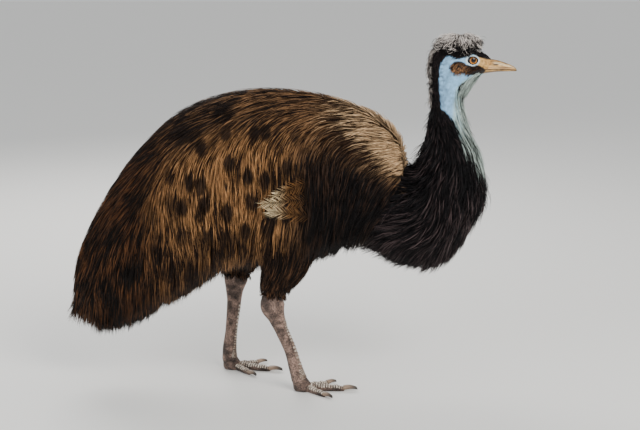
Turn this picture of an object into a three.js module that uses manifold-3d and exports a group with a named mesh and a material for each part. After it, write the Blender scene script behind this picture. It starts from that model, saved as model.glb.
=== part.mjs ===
// A life-size emu in a walking stance, bill towards +X, its left side towards +Y, standing on z = 0.
// Millimetres, +Z up. The plumage is flat, tapered locks fused to a smaller core.
import * as THREE from "three";
import { LoftGeometry } from "three/addons/geometries/LoftGeometry.js";
import { mergeVertices } from "three/addons/utils/BufferGeometryUtils.js";
import Module from "manifold-3d";

const wasm = await Module();
wasm.setup();
const { union } = wasm.Manifold;

const gap = 0.3; // between neighbouring pieces
const vector = (x, y, z) => new THREE.Vector3(x, y, z);
const { clamp, degToRad, lerp, smoothstep } = THREE.MathUtils;

// The core under the plumage, section by section: its top, its bottom and half its width.
const bodyStations = [
  { top: [-748, 350], bottom: [-704, 258], half: 36 },
  { top: [-732, 442], bottom: [-634, 238], half: 62 },
  { top: [-645, 628], bottom: [-508, 262], half: 105 },
  { top: [-519, 808], bottom: [-404, 325], half: 148 },
  { top: [-354, 960], bottom: [-290, 392], half: 190 },
  { top: [-134, 1026], bottom: [-172, 455], half: 212 },
  { top: [106, 1011], bottom: [-12, 450], half: 213 },
  { top: [302, 945], bottom: [118, 476], half: 188 },
  { top: [380, 872], bottom: [192, 498], half: 164 },
  { top: [406, 768], bottom: [262, 512], half: 138 },
];
const neckStations = [
  { top: [406, 768], bottom: [262, 512], half: 138 },
  { top: [432, 764], bottom: [378, 438], half: 130 },
  { top: [453, 787], bottom: [532, 434], half: 120 },
  { top: [473, 832], bottom: [662, 622], half: 100 },
  { top: [485, 900], bottom: [666, 780], half: 77 },
  { top: [491, 960], bottom: [618, 896], half: 54 },
  { top: [494, 1015], bottom: [594, 990], half: 42 },
  { top: [491, 1080], bottom: [600, 1046], half: 41 },
];
const headStations = [
  { top: [491, 1080], bottom: [600, 1046], half: 41 },
  { top: [488, 1128], bottom: [628, 1060], half: 47 },
  { top: [500, 1170], bottom: [646, 1076], half: 50 },
  { top: [532, 1188], bottom: [652, 1082], half: 50 },
  { top: [578, 1193], bottom: [657, 1086], half: 47 },
  { top: [624, 1181], bottom: [662, 1090], half: 42 },
  { top: [660, 1166], bottom: [667, 1093], half: 35 },
  { top: [690, 1146], bottom: [672, 1096], half: 28 },
];
const tailRoot = 3 / 9; // where the tail meets the torso, along the body
const neckCuts = [0, 3 / 7, 5 / 7, 1]; // where the neck's lengths part
// How far down the free tips reach under the tail, the belly and the breast, at points along the body.
const hem = [
  [-760, 210],
  [-680, 172],
  [-600, 182],
  [-480, 246],
  [-360, 306],
  [-240, 394],
  [-100, 410],
  [50, 420],
  [180, 478],
  [300, 466],
  [380, 424],
  [520, 420],
  [640, 540],
];

// Locks of plumage: length, width and thickness, how high the tip stands over the core, and their spacing.
const coat = {
  body: { length: 250, width: 118, thick: 7, lift: 17, pitch: 126 },
  tail: { length: 240, width: 90, thick: 7, lift: 22, pitch: 98 },
  breast: { length: 136, width: 84, thick: 6, lift: 13, pitch: 90 },
  neck: { length: 96, width: 58, thick: 5, lift: 11, pitch: 66 },
  nape: { length: 54, width: 34, thick: 5, lift: 14, pitch: 38 },
  throat: { length: 104, width: 28, thick: 5, lift: 14, pitch: 48 },
  thigh: { length: 96, width: 60, thick: 5, lift: 7, pitch: 70 },
  wing: { length: 104, width: 36, thick: 5, lift: 12, pitch: 44 },
  crest: { length: 48, width: 32, thick: 7, lift: 20, pitch: 34 },
};
const crest = { centre: [581.5, 0, 1180.2], size: [70.6, 39.1, 41.6] }; // the cushion under the crest's curls
const wing = { centre: [66, 206, 694], size: [84, 18, 34] }; // the little wing, half sunk in the flank

// Legs from the hip down: [x, y, z, depth fore and aft, width].
const legs = {
  right: {
    side: -1,
    stations: [
      [-4, -104, 560, 196, 120],
      [-4, -110, 500, 172, 112],
      [-12, -116, 456, 146, 96],
      [-36, -120, 398, 104, 72],
      [-52, -122, 343, 74, 54],
      [-56, -122, 306, 84, 58],
      [-42, -122, 262, 58, 44],
      [-25, -123, 217, 45, 35],
      [5, -125, 145, 42, 33],
      [25, -127, 73, 48, 42],
      [35, -127, 40, 54, 50],
    ],
    ball: [54, -127],
    yaw: -3,
  },
  left: {
    side: 1,
    stations: [
      [-150, 96, 570, 156, 116],
      [-154, 102, 500, 136, 106],
      [-162, 106, 446, 112, 88],
      [-176, 108, 404, 92, 68],
      [-190, 110, 374, 78, 55],
      [-196, 110, 345, 86, 58],
      [-202, 110, 300, 64, 46],
      [-204, 110, 262, 52, 37],
      [-216, 110, 149, 43, 33],
      [-224, 110, 73, 50, 42],
      [-224, 110, 40, 54, 50],
    ],
    ball: [-208, 110],
    yaw: -14,
  },
};
const hock = 4 / 10; // where the feathered thigh ends, along the leg
// Toes from the ball of the foot: angle out from the middle toe, reach to the claw, half width, height and claw.
const toes = {
  inner: { angle: -36, reach: 96, half: 13, high: 23, claw: 38, plates: 4 },
  middle: { angle: 0, reach: 138, half: 16, high: 26, claw: 48, plates: 7 },
  outer: { angle: 42, reach: 98, half: 13, high: 23, claw: 38, plates: 4 },
};
const toeRoot = 56; // distance from the ball of the foot to the toe's first free joint

// Bill from its base to its tip: x, height of the culmen, of the mouth and of the lower edge, and half the width.
const billStations = [
  [650, 1142, 1110, 1093, 29],
  [672, 1141, 1110.5, 1095, 28],
  [694, 1143, 1111, 1098, 25],
  [716, 1139, 1111, 1100, 21],
  [738, 1132, 1110, 1101, 16],
  [758, 1124, 1108.5, 1101.5, 11],
  [773, 1116, 1106.5, 1101.5, 6.5],
  [780, 1109, 1104.5, 1102, 2.5],
];
const eye = { centre: [624, 26, 1142], radius: 22, opening: [19, 14] };
const nostril = { centre: [708, 21, 1125], size: [10, 5, 4] };
const ear = { centre: [560, 48, 1122], size: [11, 8, 13] };
const gape = { centre: [634, 41, 1112], size: [24, 7, 1.6] };

// A three.js geometry as a solid.
function solidOf(geometry) {
  const bare = new THREE.BufferGeometry().setAttribute("position", geometry.getAttribute("position"));
  if (geometry.index) bare.setIndex(geometry.index);
  const merged = mergeVertices(bare, 1e-3);
  return new wasm.Manifold(
    new wasm.Mesh({
      numProp: 3,
      vertProperties: merged.attributes.position.array,
      triVerts: new Uint32Array(merged.index.array),
    }),
  );
}

// One closed solid skinned through rings of points, all of one length.
function skin(rings) {
  const [first, next] = rings;
  const area = vector(0, 0, 0);
  const forward = vector(0, 0, 0);
  first.forEach((point, i) => {
    area.add(point.clone().cross(first[(i + 1) % first.length]));
    forward.add(next[i]).sub(point);
  });
  const facing = area.dot(forward) > 0 ? rings : rings.map((ring) => [...ring].reverse());
  return solidOf(new LoftGeometry(facing, { capStart: true, capEnd: true }));
}

const group = new THREE.Group();

// Adds a solid's largest closed surface as a named mesh.
function addNode(name, solid, material) {
  const bodies = solid.simplify(0.01).decompose().filter((body) => body.volume() > 0);
  const whole = bodies.reduce((a, b) => (a.volume() > b.volume() ? a : b));
  const { numProp, vertProperties, triVerts } = whole.getMesh();
  const geometry = new THREE.BufferGeometry();
  const places = new THREE.InterleavedBuffer(vertProperties, numProp);
  geometry.setAttribute("position", new THREE.InterleavedBufferAttribute(places, 3, 0));
  geometry.setIndex(new THREE.BufferAttribute(triVerts, 1));
  const flat = geometry.toNonIndexed();
  flat.computeVertexNormals();
  const mesh = new THREE.Mesh(flat, material);
  mesh.name = name;
  group.add(mesh);
}

const finish = (color, roughness) => new THREE.MeshStandardMaterial({ color, roughness, metalness: 0 });
const materials = {
  plumage: finish(0x4a2f1c, 0.9),
  darkPlumage: finish(0x1d1716, 0.92),
  face: finish(0x8fb4cf, 0.7),
  bill: finish(0xb89566, 0.5),
  eye: finish(0x2a1608, 0.15),
  leg: finish(0x75665c, 0.75),
  claw: finish(0x4b3d33, 0.5),
};

// Surface through upright sections: turn 0 is the left side and a quarter turn on is the top or the back.
function profile(stations) {
  const line = (pick) => new THREE.CatmullRomCurve3(stations.map(pick));
  const top = line((s) => vector(s.top[0], 0, s.top[1]));
  const bottom = line((s) => vector(s.bottom[0], 0, s.bottom[1]));
  const girth = line((s) => vector(s.half, 0, 0));
  return (along, turn, margin) => {
    const high = top.getPoint(along);
    const low = bottom.getPoint(along);
    const middle = high.clone().add(low).multiplyScalar(0.5);
    const reach = high.sub(low).multiplyScalar(0.5);
    const tall = reach.length() + margin;
    const wide = girth.getPoint(along).x + margin;
    const rise = Math.sin(turn);
    const out = Math.cos(turn) * (1 - 0.1 * rise);
    return middle.addScaledVector(reach.normalize(), tall * rise).add(vector(0, wide * out, 0));
  };
}

// Surface round a limb, each section square to the limb's own line.
function limb(stations) {
  const spine = new THREE.CatmullRomCurve3(stations.map(([x, y, z]) => vector(x, y, z)));
  const girth = new THREE.CatmullRomCurve3(stations.map(([, , , deep, wide]) => vector(deep / 2, wide / 2, 0)));
  return (along, turn, margin) => {
    const [before, after] = [Math.max(along - 1e-3, 0), Math.min(along + 1e-3, 1)];
    const way = spine.getPoint(after).sub(spine.getPoint(before)).normalize();
    const left = vector(0, 1, 0).addScaledVector(way, -way.y).normalize();
    const back = left.clone().cross(way);
    const size = girth.getPoint(along).addScalar(margin);
    return spine
      .getPoint(along)
      .addScaledVector(left, size.y * Math.cos(turn))
      .addScaledVector(back, size.x * Math.sin(turn));
  };
}

// A surface that can be walked over and closed into a solid; along runs from 0 to 1.
class Hide {
  constructor(shape) {
    this.shape = shape;
  }
  point(along, turn, margin = 0) {
    return this.shape(clamp(along, 0, 1), turn, margin);
  }
  ring(along, sides, margin = 0) {
    return Array.from({ length: sides }, (_, i) => this.point(along, (2 * Math.PI * i) / sides, margin));
  }
  frame({ along, turn }) {
    const step = 1e-3;
    const [before, after] = [Math.max(along - step, 0), Math.min(along + step, 1)];
    const at = this.point(along, turn);
    const forward = this.point(after, turn).sub(this.point(before, turn)).divideScalar(after - before);
    const around = this.point(along, turn + step).sub(this.point(along, turn - step)).divideScalar(2 * step);
    const normal = forward.clone().cross(around).normalize();
    const inside = this.point(along, turn + Math.PI).add(at).multiplyScalar(0.5);
    if (normal.dot(at.clone().sub(inside)) < 0) normal.negate();
    return { at, forward, around, normal };
  }
  // The place on the surface reached by a short move from another place.
  moved(place, move) {
    const { forward, around } = this.frame(place);
    const [ff, fa, aa] = [forward.dot(forward), forward.dot(around), around.dot(around)];
    const [mf, ma] = [move.dot(forward), move.dot(around)];
    const whole = Math.max(ff * aa - fa * fa, 1e-9);
    return {
      along: clamp(place.along + (mf * aa - ma * fa) / whole, 1e-3, 1 - 1e-3),
      turn: place.turn + (ma * ff - mf * fa) / whole,
    };
  }
  core(from, to, steps, sides, margin = 0) {
    const rings = Array.from({ length: steps + 1 }, (_, i) => this.ring(lerp(from, to, i / steps), sides, margin));
    const pull = (ring, next) => {
      const way = vector(0, 0, 0);
      ring.forEach((point, i) => way.add(point).sub(next[i]));
      way.normalize();
      for (const point of ring) point.addScaledVector(way, margin - gap / 2);
    };
    pull(rings[0], rings[1]);
    pull(rings[steps], rings[steps - 1]);
    return skin(rings);
  }
}

// A dome, its ends to the back and the front.
const dome = ({ centre, size }) => (along, turn, margin) => {
  const [long, wide, tall] = size.map((radius) => radius + margin);
  const round = Math.sin(Math.PI * along);
  const off = vector(-long * Math.cos(Math.PI * along), wide * round * Math.cos(turn), tall * round * Math.sin(turn));
  return off.add(vector(...centre));
};

const hides = {
  crest: new Hide(dome(crest)),
  rightWing: new Hide(dome({ ...wing, centre: [wing.centre[0], -wing.centre[1], wing.centre[2]] })),
  leftWing: new Hide(dome(wing)),
  body: new Hide(profile(bodyStations)),
  neck: new Hide(profile(neckStations)),
  head: new Hide(profile(headStations)),
  right: new Hide(limb(legs.right.stations)),
  left: new Hide(limb(legs.left.stations)),
};
const torsoCore = (margin) => hides.body.core(tailRoot, 1, 11, 20, margin);
const tailCore = (margin) => hides.body.core(0, tailRoot, 7, 16, margin);
const neckCore = (part, margin) => hides.neck.core(neckCuts[part], neckCuts[part + 1], [6, 4, 4][part], 16, margin);
const skull = (margin) => hides.head.core(0, 1, 9, 16, margin);
const thighCore = (side, margin) => hides[side].core(0, hock, 6, 12, margin);

// A flat blade with a low ridge, through sections of a middle, a way, a way across, a half width and a height.
function blade(sections, margin) {
  const rings = sections.map(({ middle, way, across, half, high }, i) => {
    const top = across.clone().cross(way).normalize();
    const ends = [-margin, ...sections.slice(2).fill(0), margin];
    const put = (side, rise) =>
      middle
        .clone()
        .addScaledVector(way, ends[i])
        .addScaledVector(across, side * (half + margin))
        .addScaledVector(top, rise);
    const walls = [put(-1, -margin), put(1, -margin), put(1, margin), put(0, high + margin), put(-1, margin)];
    return margin ? walls : [walls[0], walls[1], walls[3]];
  });
  return skin(rings);
}

// A repeatable number from -1 to 1 for a place.
const chance = ({ along, turn }, kind) => 2 * Math.abs((Math.sin(along * 917 + turn * 131 + kind * 77) * 4375) % 1) - 1;

// Share of a lock's length, width and lift at each of its sections.
const longLock = [
  [0, 0.45, -0.6],
  [0.3, 1, 0.15],
  [0.68, 0.8, 0.65],
  [1, 0.1, 1],
];
const shortLock = [
  [0, 0.55, -0.6],
  [0.45, 1, 0.35],
  [1, 0.12, 1],
];

// Sections of a lock laid over a hide from its root. Past the turn of the belly or the hide's end it hangs free.
function lockSections(hide, root, lie, kind, length) {
  const shares = kind.length > 140 ? longLock : shortLock;
  const lift = kind.lift * (1 + 0.25 * chance(root, 2));
  let place = root;
  let middle = null;
  let way = null;
  let across = null;
  let hangs = false;
  return shares.map(([share, broad, raise], i) => {
    const step = i < shares.length - 1 ? (shares[i + 1][0] - share) * length : 0;
    const frame = hide.frame(place);
    if (hangs) {
      way = way.clone().add(vector(-0.06, 0, -0.4)).normalize();
    } else {
      const wanted = lie(frame).applyAxisAngle(frame.normal, 0.14 * chance(root, 3));
      way = wanted.addScaledVector(frame.normal, -wanted.dot(frame.normal)).normalize();
      across = way.clone().cross(frame.normal).normalize();
      middle = frame.at.clone().addScaledVector(frame.normal, raise * lift);
    }
    const section = { middle, way, across, half: (broad * kind.width) / 2, high: kind.thick * lerp(1, 0.35, share) };
    middle = middle.clone().addScaledVector(way, step);
    if (!hangs) {
      place = hide.moved(place, way.clone().multiplyScalar(step));
      const next = hide.frame(place);
      hangs = next.at.distanceTo(frame.at) < 0.7 * step || next.normal.z < -0.3;
    }
    return section;
  });
}

const hemCurve = new THREE.CatmullRomCurve3(hem.map(([x, z]) => vector(x, 0, z)));
const hemPoints = hemCurve.getPoints(80);
function hemAt(x) {
  const next = Math.max(hemPoints.findIndex((point) => point.x > x), 1);
  const [a, b] = [hemPoints[next - 1], hemPoints[next]];
  return lerp(a.z, b.z, clamp((x - a.x) / (b.x - a.x), 0, 1));
}

// One lock, short enough that its tip stays about the hem.
function lock(hide, root, lie, kind, margin = 0) {
  let length = kind.length * (1 + 0.13 * chance(root, 1));
  let sections = lockSections(hide, root, lie, kind, length);
  for (let tries = 0; tries < 7; tries++) {
    const { middle } = sections.at(-1);
    if (middle.z > hemAt(middle.x) + 0.2 * Math.abs(middle.y) - 8 + 16 * chance(root, 4)) break;
    length *= 0.88;
    sections = lockSections(hide, root, lie, kind, length);
  }
  return blade(sections, margin);
}

// Roots spread over a stretch of a hide, none nearer to another than the pitch.
function roots(hide, from, to, pitch, keep = () => true) {
  const made = [];
  const rows = 60;
  for (let i = 0; i < rows; i++) {
    for (let j = 0; j < 48; j++) {
      const place = { along: lerp(from, to, i / (rows - 1)), turn: Math.PI * (0.5 + (j % 2 ? -j - 1 : j) / 48) };
      const frame = hide.frame(place);
      const clear = made.every(({ at }) => at.distanceTo(frame.at) > pitch);
      if (clear && keep(frame, place)) made.push({ ...place, at: frame.at });
    }
  }
  return made;
}

// The lie of the plumage on the body: from the parting backwards on the back, and down the flanks.
function bodyLie({ at, normal }) {
  const high = smoothstep(normal.z, -0.1, 0.9);
  const rear = smoothstep(-at.x, 250, 650);
  const front = smoothstep(at.x, 150, 330) * (1 - Math.abs(normal.y));
  const slope = degToRad(lerp(lerp(76, 40, high), lerp(70, 50, high), rear));
  const spread = lerp(0.35 * high * clamp(at.y / 60, -1, 1), at.y < 0 ? -1.1 : 1.1, front);
  return vector(-Math.cos(slope), spread, -Math.sin(slope));
}
const towardsRoot = ({ forward }) => forward.clone().negate().normalize();
const towardsEnd = ({ forward }) => forward.clone().normalize();

const awayFromWhorl = ({ at }) => at.clone().sub(vector(crest.centre[0] + 18, 0, crest.centre[2] + 16));
const backwards = () => vector(-1, 0, -0.16);

const layers = {
  crest: {
    hide: hides.crest,
    lie: awayFromWhorl,
    kind: coat.crest,
    roots: roots(hides.crest, 0.12, 0.88, coat.crest.pitch, ({ at }) => at.z > crest.centre[2] + 6),
  },
  nape: {
    hide: hides.head,
    lie: towardsRoot,
    kind: coat.nape,
    roots: roots(hides.head, 0.02, 0.38, coat.nape.pitch, (_, { turn }) => Math.sin(turn) > 0.8),
  },
  neckUpper: {
    hide: hides.neck,
    lie: towardsRoot,
    kind: coat.nape,
    roots: roots(hides.neck, neckCuts[2] + 0.02, 0.99, coat.nape.pitch, (_, { turn }) => Math.sin(turn) > 0.75),
  },
  throat: {
    hide: hides.neck,
    lie: towardsRoot,
    kind: coat.throat,
    roots: roots(hides.neck, neckCuts[2] + 0.02, 0.99, coat.throat.pitch, (_, { turn }) => Math.sin(turn) < -0.6),
  },
  neckMiddle: {
    hide: hides.neck,
    lie: towardsRoot,
    kind: coat.neck,
    roots: roots(hides.neck, neckCuts[1] + 0.01, neckCuts[2] - 0.01, coat.neck.pitch),
  },
  breast: {
    hide: hides.neck,
    lie: towardsRoot,
    kind: coat.breast,
    roots: roots(hides.neck, 0.02, neckCuts[1] - 0.01, coat.breast.pitch),
  },
  torso: {
    hide: hides.body,
    lie: bodyLie,
    kind: coat.body,
    roots: roots(
      hides.body,
      tailRoot + 0.01,
      0.985,
      coat.body.pitch,
      ({ at, normal }) => normal.z > (at.x < -240 ? -0.75 : -0.4),
    ),
  },
  tail: {
    hide: hides.body,
    lie: bodyLie,
    kind: coat.tail,
    roots: roots(hides.body, 0.02, tailRoot - 0.01, coat.tail.pitch, ({ normal }) => normal.z > -0.7),
  },
};
for (const side of ["right", "left"]) {
  layers[`${side}Thigh`] = {
    hide: hides[side],
    lie: towardsEnd,
    kind: coat.thigh,
    roots: roots(hides[side], 0.12, hock - 0.09, coat.thigh.pitch),
  };
  layers[`${side}Wing`] = {
    hide: hides[`${side}Wing`],
    lie: backwards,
    kind: coat.wing,
    roots: roots(hides[`${side}Wing`], 0.3, 0.97, coat.wing.pitch, ({ at }) => Math.abs(at.y) > wing.centre[1] - 2),
  };
}
const locks = (name, margin = 0) => {
  const { hide, lie, kind, roots: places } = layers[name];
  return union(places.map((root) => lock(hide, root, lie, kind, margin)));
};

// The bare lower leg, with a row of raised plates down its front.
function shank(side, margin = 0) {
  const hide = hides[side];
  const steps = 18;
  const rings = [];
  for (let i = 0; i <= steps; i++) {
    const along = lerp(hock, 1, i / steps);
    const ring = hide.ring(along, 10, margin);
    const plate = i > 5 && i % 2 ? 1.8 : 0;
    ring.forEach((point, j) => {
      const front = Math.max(-Math.sin((2 * Math.PI * j) / 10), 0);
      point.x += plate * front;
    });
    rings.push(ring);
  }
  const pull = (ring, next, by) => {
    const way = next[0].clone().sub(ring[0]).normalize();
    for (const point of ring) point.addScaledVector(way, by);
  };
  pull(rings[0], rings[1], gap / 2 - margin);
  pull(rings[steps], rings[steps - 1], gap / 2 - margin);
  return skin(rings);
}

const heading = (leg, kind) => {
  const angle = degToRad(leg.yaw + leg.side * kind.angle);
  return vector(Math.cos(angle), Math.sin(angle), 0);
};

// A toe between two distances from the ball of the foot, its sole flat on the floor and its top in plates.
function toe(leg, kind, from, to, plates) {
  const ahead = heading(leg, kind);
  const left = vector(-ahead.y, ahead.x, 0);
  const steps = plates ? 2 * plates : 3;
  const outline = [
    [-0.62, 0],
    [0.62, 0],
    [1, 0.26],
    [0.9, 0.66],
    [0.42, 0.96],
    [-0.42, 0.96],
    [-0.9, 0.66],
    [-1, 0.26],
  ];
  const rings = [];
  for (let i = 0; i <= steps; i++) {
    const far = lerp(from, to, i / steps);
    const share = far / kind.reach;
    const wide = kind.half * (1.06 - 0.3 * share * share);
    const tall = kind.high * (1.12 - 0.5 * share) + (plates && i % 2 ? 1.4 : 0);
    const middle = vector(leg.ball[0], leg.ball[1], 0).addScaledVector(ahead, far);
    rings.push(
      outline.map(([side, rise]) => middle.clone().addScaledVector(left, side * wide).add(vector(0, 0, rise * tall))),
    );
  }
  return skin(rings);
}

// The end joint of the leg: the ankle, the pad and the roots of the three toes.
function foot(side) {
  const leg = legs[side];
  const [x, y] = leg.ball;
  const last = leg.stations.at(-1);
  const ankle = hides[side].ring(1, 12, gap).map((point) => point.add(vector(0, 0, -gap / 2)));
  const levels = [
    [lerp(last[0], x, 0.5), 25, 31, 27],
    [x - 6, 12, 34, 30],
    [x - 4, 3, 33, 28],
    [x - 2, 0, 28, 23],
  ];
  const rings = levels.map(([at, level, deep, wide]) =>
    Array.from({ length: 12 }, (_, i) => {
      const turn = (2 * Math.PI * i) / 12;
      return vector(at - deep * Math.sin(turn), y + wide * Math.cos(turn), level);
    }),
  );
  const stubs = Object.values(toes).map((kind) => toe(leg, kind, 6, toeRoot - gap / 2, 0));
  return union([skin([ankle, ...rings]), ...stubs]);
}

// A claw from the end of its toe to a blunt point just off the floor.
function claw(leg, kind) {
  const ahead = heading(leg, kind);
  const left = vector(-ahead.y, ahead.x, 0);
  const steps = 4;
  const rings = [];
  for (let i = 0; i <= steps; i++) {
    const share = i / steps;
    const wide = kind.half * lerp(0.66, 0.12, share ** 1.3);
    const tall = kind.high * lerp(0.52, 0.1, share ** 1.2);
    const low = 2.4 + 5 * Math.sin(Math.PI * 0.8 * share) * (kind.claw / 48);
    const middle = vector(leg.ball[0], leg.ball[1], low + tall / 2);
    middle.addScaledVector(ahead, kind.reach + gap / 2 + kind.claw * share);
    rings.push(
      Array.from({ length: 6 }, (_, j) => {
        const turn = (2 * Math.PI * j) / 6;
        const rise = (tall / 2) * Math.sin(turn);
        return middle.clone().addScaledVector(left, wide * Math.cos(turn)).add(vector(0, 0, rise));
      }),
    );
  }
  return skin(rings);
}

const bead = ([x, y, z], [a, b, c], columns = 12, rows = 8) =>
  solidOf(new THREE.SphereGeometry(1, columns, rows).scale(a, b, c).translate(x, y, z));
const onSide = ([x, y, z], side) => [x, side * y, z];
const eyeball = (side, margin) => bead(onSide(eye.centre, side), Array(3).fill(eye.radius + margin), 12, 8);

// The rim of the lids, an almond round the eye that stands a little off the cheek.
function lids(side) {
  const [x, y, z] = eye.centre;
  const [long, tall] = eye.opening;
  const points = Array.from({ length: 14 }, (_, i) => {
    const turn = (2 * Math.PI * i) / 14;
    const rise = tall * Math.sin(turn) * (1 - 0.12 * Math.cos(turn));
    const ahead = long * Math.cos(turn);
    const out = Math.sqrt(eye.radius ** 2 - (rise * 0.8) ** 2 - (ahead * 0.8) ** 2);
    return vector(x + ahead, side * (y + out - 1.5), z + rise);
  });
  return solidOf(new THREE.TubeGeometry(new THREE.CatmullRomCurve3(points, true), 12, 3.4, 4, true));
}

function head() {
  const sides = [-1, 1];
  const raised = union([skull(0), hides.crest.core(0.045, 0.96, 7, 11), locks("crest"), ...sides.map(lids)]);
  const plumed = union([raised, locks("nape").subtract(neckCore(2, gap))]);
  const cuts = sides.flatMap((side) => [
    eyeball(side, gap),
    bead(onSide(ear.centre, side), ear.size, 8, 6),
    bead(onSide(gape.centre, side), gape.size, 8, 4),
  ]);
  return plumed.subtract(union([neckCore(2, gap), ...cuts]));
}

// One half of the bill: rounded above the mouth, or below it.
function billHalf(upper) {
  const rings = billStations.map(([x, crown, mouth, chin, half]) => {
    const edge = mouth + (upper ? gap : -gap);
    const reach = (upper ? crown : chin) - edge;
    return Array.from({ length: 9 }, (_, i) => {
      const turn = (Math.PI * i) / 8;
      return vector(x, half * (upper ? 1 : 0.9) * Math.cos(turn), edge + reach * Math.sin(turn) ** 0.8);
    });
  });
  const solid = skin(rings).subtract(skull(2 * gap));
  const holes = [-1, 1].map((side) => bead(onSide(nostril.centre, side), nostril.size, 8, 6));
  return upper ? solid.subtract(union(holes)) : solid;
}

// The small wing: a low pad with free vanes that point backwards.
const wingOf = (side, margin = 0) =>
  union([hides[`${side}Wing`].core(0.06, 0.9, 5, 10, margin), locks(`${side}Wing`, margin)]).subtract(
    torsoCore(gap - Math.min(margin, gap)),
  );
const wings = (margin) => union([wingOf("right", margin), wingOf("left", margin)]);
const thighs = (margin) => union(["right", "left"].flatMap((side) => [thighCore(side, margin)]));

const torso = () => {
  const coatOver = locks("torso").subtract(
    union([tailCore(gap), neckCore(0, gap), locks("breast", gap), thighs(gap), wings(gap)]),
  );
  return union([torsoCore(0).subtract(wings(gap)), coatOver]);
};
const tail = () => union([tailCore(0), locks("tail").subtract(union([torsoCore(gap), locks("torso", gap)]))]);

function thigh(side) {
  const plumes = locks(`${side}Thigh`).subtract(union([torsoCore(gap), locks("torso", gap), shank(side, 2 * gap)]));
  return union([thighCore(side, 0).subtract(torsoCore(gap)), plumes]);
}

const neckParts = [
  () => {
    const above = union([torsoCore(gap), neckCore(1, gap), locks("neckMiddle", gap)]);
    return union([neckCore(0, 0), locks("breast").subtract(above)]);
  },
  () => {
    const above = union([neckCore(0, gap), neckCore(2, gap), locks("neckUpper", gap), locks("throat", gap)]);
    return union([neckCore(1, 0), locks("neckMiddle").subtract(above)]);
  },
  () => {
    const above = union([neckCore(1, gap), skull(gap), locks("nape", gap)]);
    return union([neckCore(2, 0), union([locks("neckUpper"), locks("throat")]).subtract(above)]);
  },
];

addNode("torso", torso(), materials.plumage);
addNode("tail", tail(), materials.plumage);
["neck_lower", "neck_middle", "neck_upper"].forEach((name, i) => addNode(name, neckParts[i](), materials.darkPlumage));
addNode("head", head(), materials.face);
addNode("upper_bill", billHalf(true), materials.bill);
addNode("lower_bill", billHalf(false), materials.bill);
for (const [side, leg] of Object.entries(legs)) {
  addNode(`eye_${side}`, eyeball(leg.side, 0), materials.eye);
  addNode(`wing_${side}`, wingOf(side), materials.plumage);
  addNode(`thigh_${side}`, thigh(side), materials.darkPlumage);
  addNode(`shank_${side}`, shank(side), materials.leg);
  addNode(`foot_${side}`, foot(side), materials.leg);
  for (const [name, kind] of Object.entries(toes)) {
    const between = [toeRoot + gap / 2, kind.reach - gap / 2];
    addNode(`toe_${name}_${side}`, toe(leg, kind, ...between, kind.plates), materials.leg);
    addNode(`claw_${name}_${side}`, claw(leg, kind), materials.claw);
  }
}

export default group;
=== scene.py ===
# A life-size emu in a walking stance: one skin under a dense coat of mesh plumage, with scaled legs,
# a horn bill and glossy eyes. Millimetres in the tables, metres in the scene; the bill points towards +X.
import math
import bmesh
import bpy
import numpy as np
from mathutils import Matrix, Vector, kdtree


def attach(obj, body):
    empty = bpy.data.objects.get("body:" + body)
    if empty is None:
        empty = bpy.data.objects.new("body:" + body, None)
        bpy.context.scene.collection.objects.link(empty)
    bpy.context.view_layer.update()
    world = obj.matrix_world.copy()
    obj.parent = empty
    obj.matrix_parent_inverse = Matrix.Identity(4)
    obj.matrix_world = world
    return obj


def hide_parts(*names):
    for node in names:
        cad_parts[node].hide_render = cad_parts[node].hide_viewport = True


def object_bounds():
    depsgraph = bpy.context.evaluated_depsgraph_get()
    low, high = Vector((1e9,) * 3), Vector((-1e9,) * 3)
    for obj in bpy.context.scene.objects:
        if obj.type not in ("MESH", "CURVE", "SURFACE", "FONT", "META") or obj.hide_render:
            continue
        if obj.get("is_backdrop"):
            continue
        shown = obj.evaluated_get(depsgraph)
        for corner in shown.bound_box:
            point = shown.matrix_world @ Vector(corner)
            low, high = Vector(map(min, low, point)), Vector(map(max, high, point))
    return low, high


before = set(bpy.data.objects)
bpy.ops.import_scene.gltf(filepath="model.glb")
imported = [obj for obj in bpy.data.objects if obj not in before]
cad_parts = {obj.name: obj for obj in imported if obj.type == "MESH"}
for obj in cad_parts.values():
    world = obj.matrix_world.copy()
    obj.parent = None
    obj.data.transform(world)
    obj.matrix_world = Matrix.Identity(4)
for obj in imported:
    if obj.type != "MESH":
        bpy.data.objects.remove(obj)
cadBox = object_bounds()
rng = np.random.default_rng(2105)
print("frame loaded")


# camera, floor and light

view = {"place": (0.108, -4.402, 1.535), "tilt": 78, "lens": 72.34, "sensor": 36}
floorLook = {"colour": (0.88, 0.87, 0.84), "roughness": 0.85, "size": 30}
lightsAim = (0, 0, 0.6)
lights = [
    {"name": "key", "place": (2.6, -3.4, 3.9), "size": 2.6, "power": 190, "colour": (1.0, 0.97, 0.92)},
    {"name": "fill", "place": (-3.6, -3.0, 2.2), "size": 3.2, "power": 80, "colour": (0.92, 0.96, 1.0)},
    {"name": "rim", "place": (-1.4, 3.2, 3.4), "size": 2.4, "power": 120, "colour": (1.0, 0.98, 0.95)},
]
skyLook = {"colour": (0.93, 0.95, 0.97), "strength": 0.75}


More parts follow.
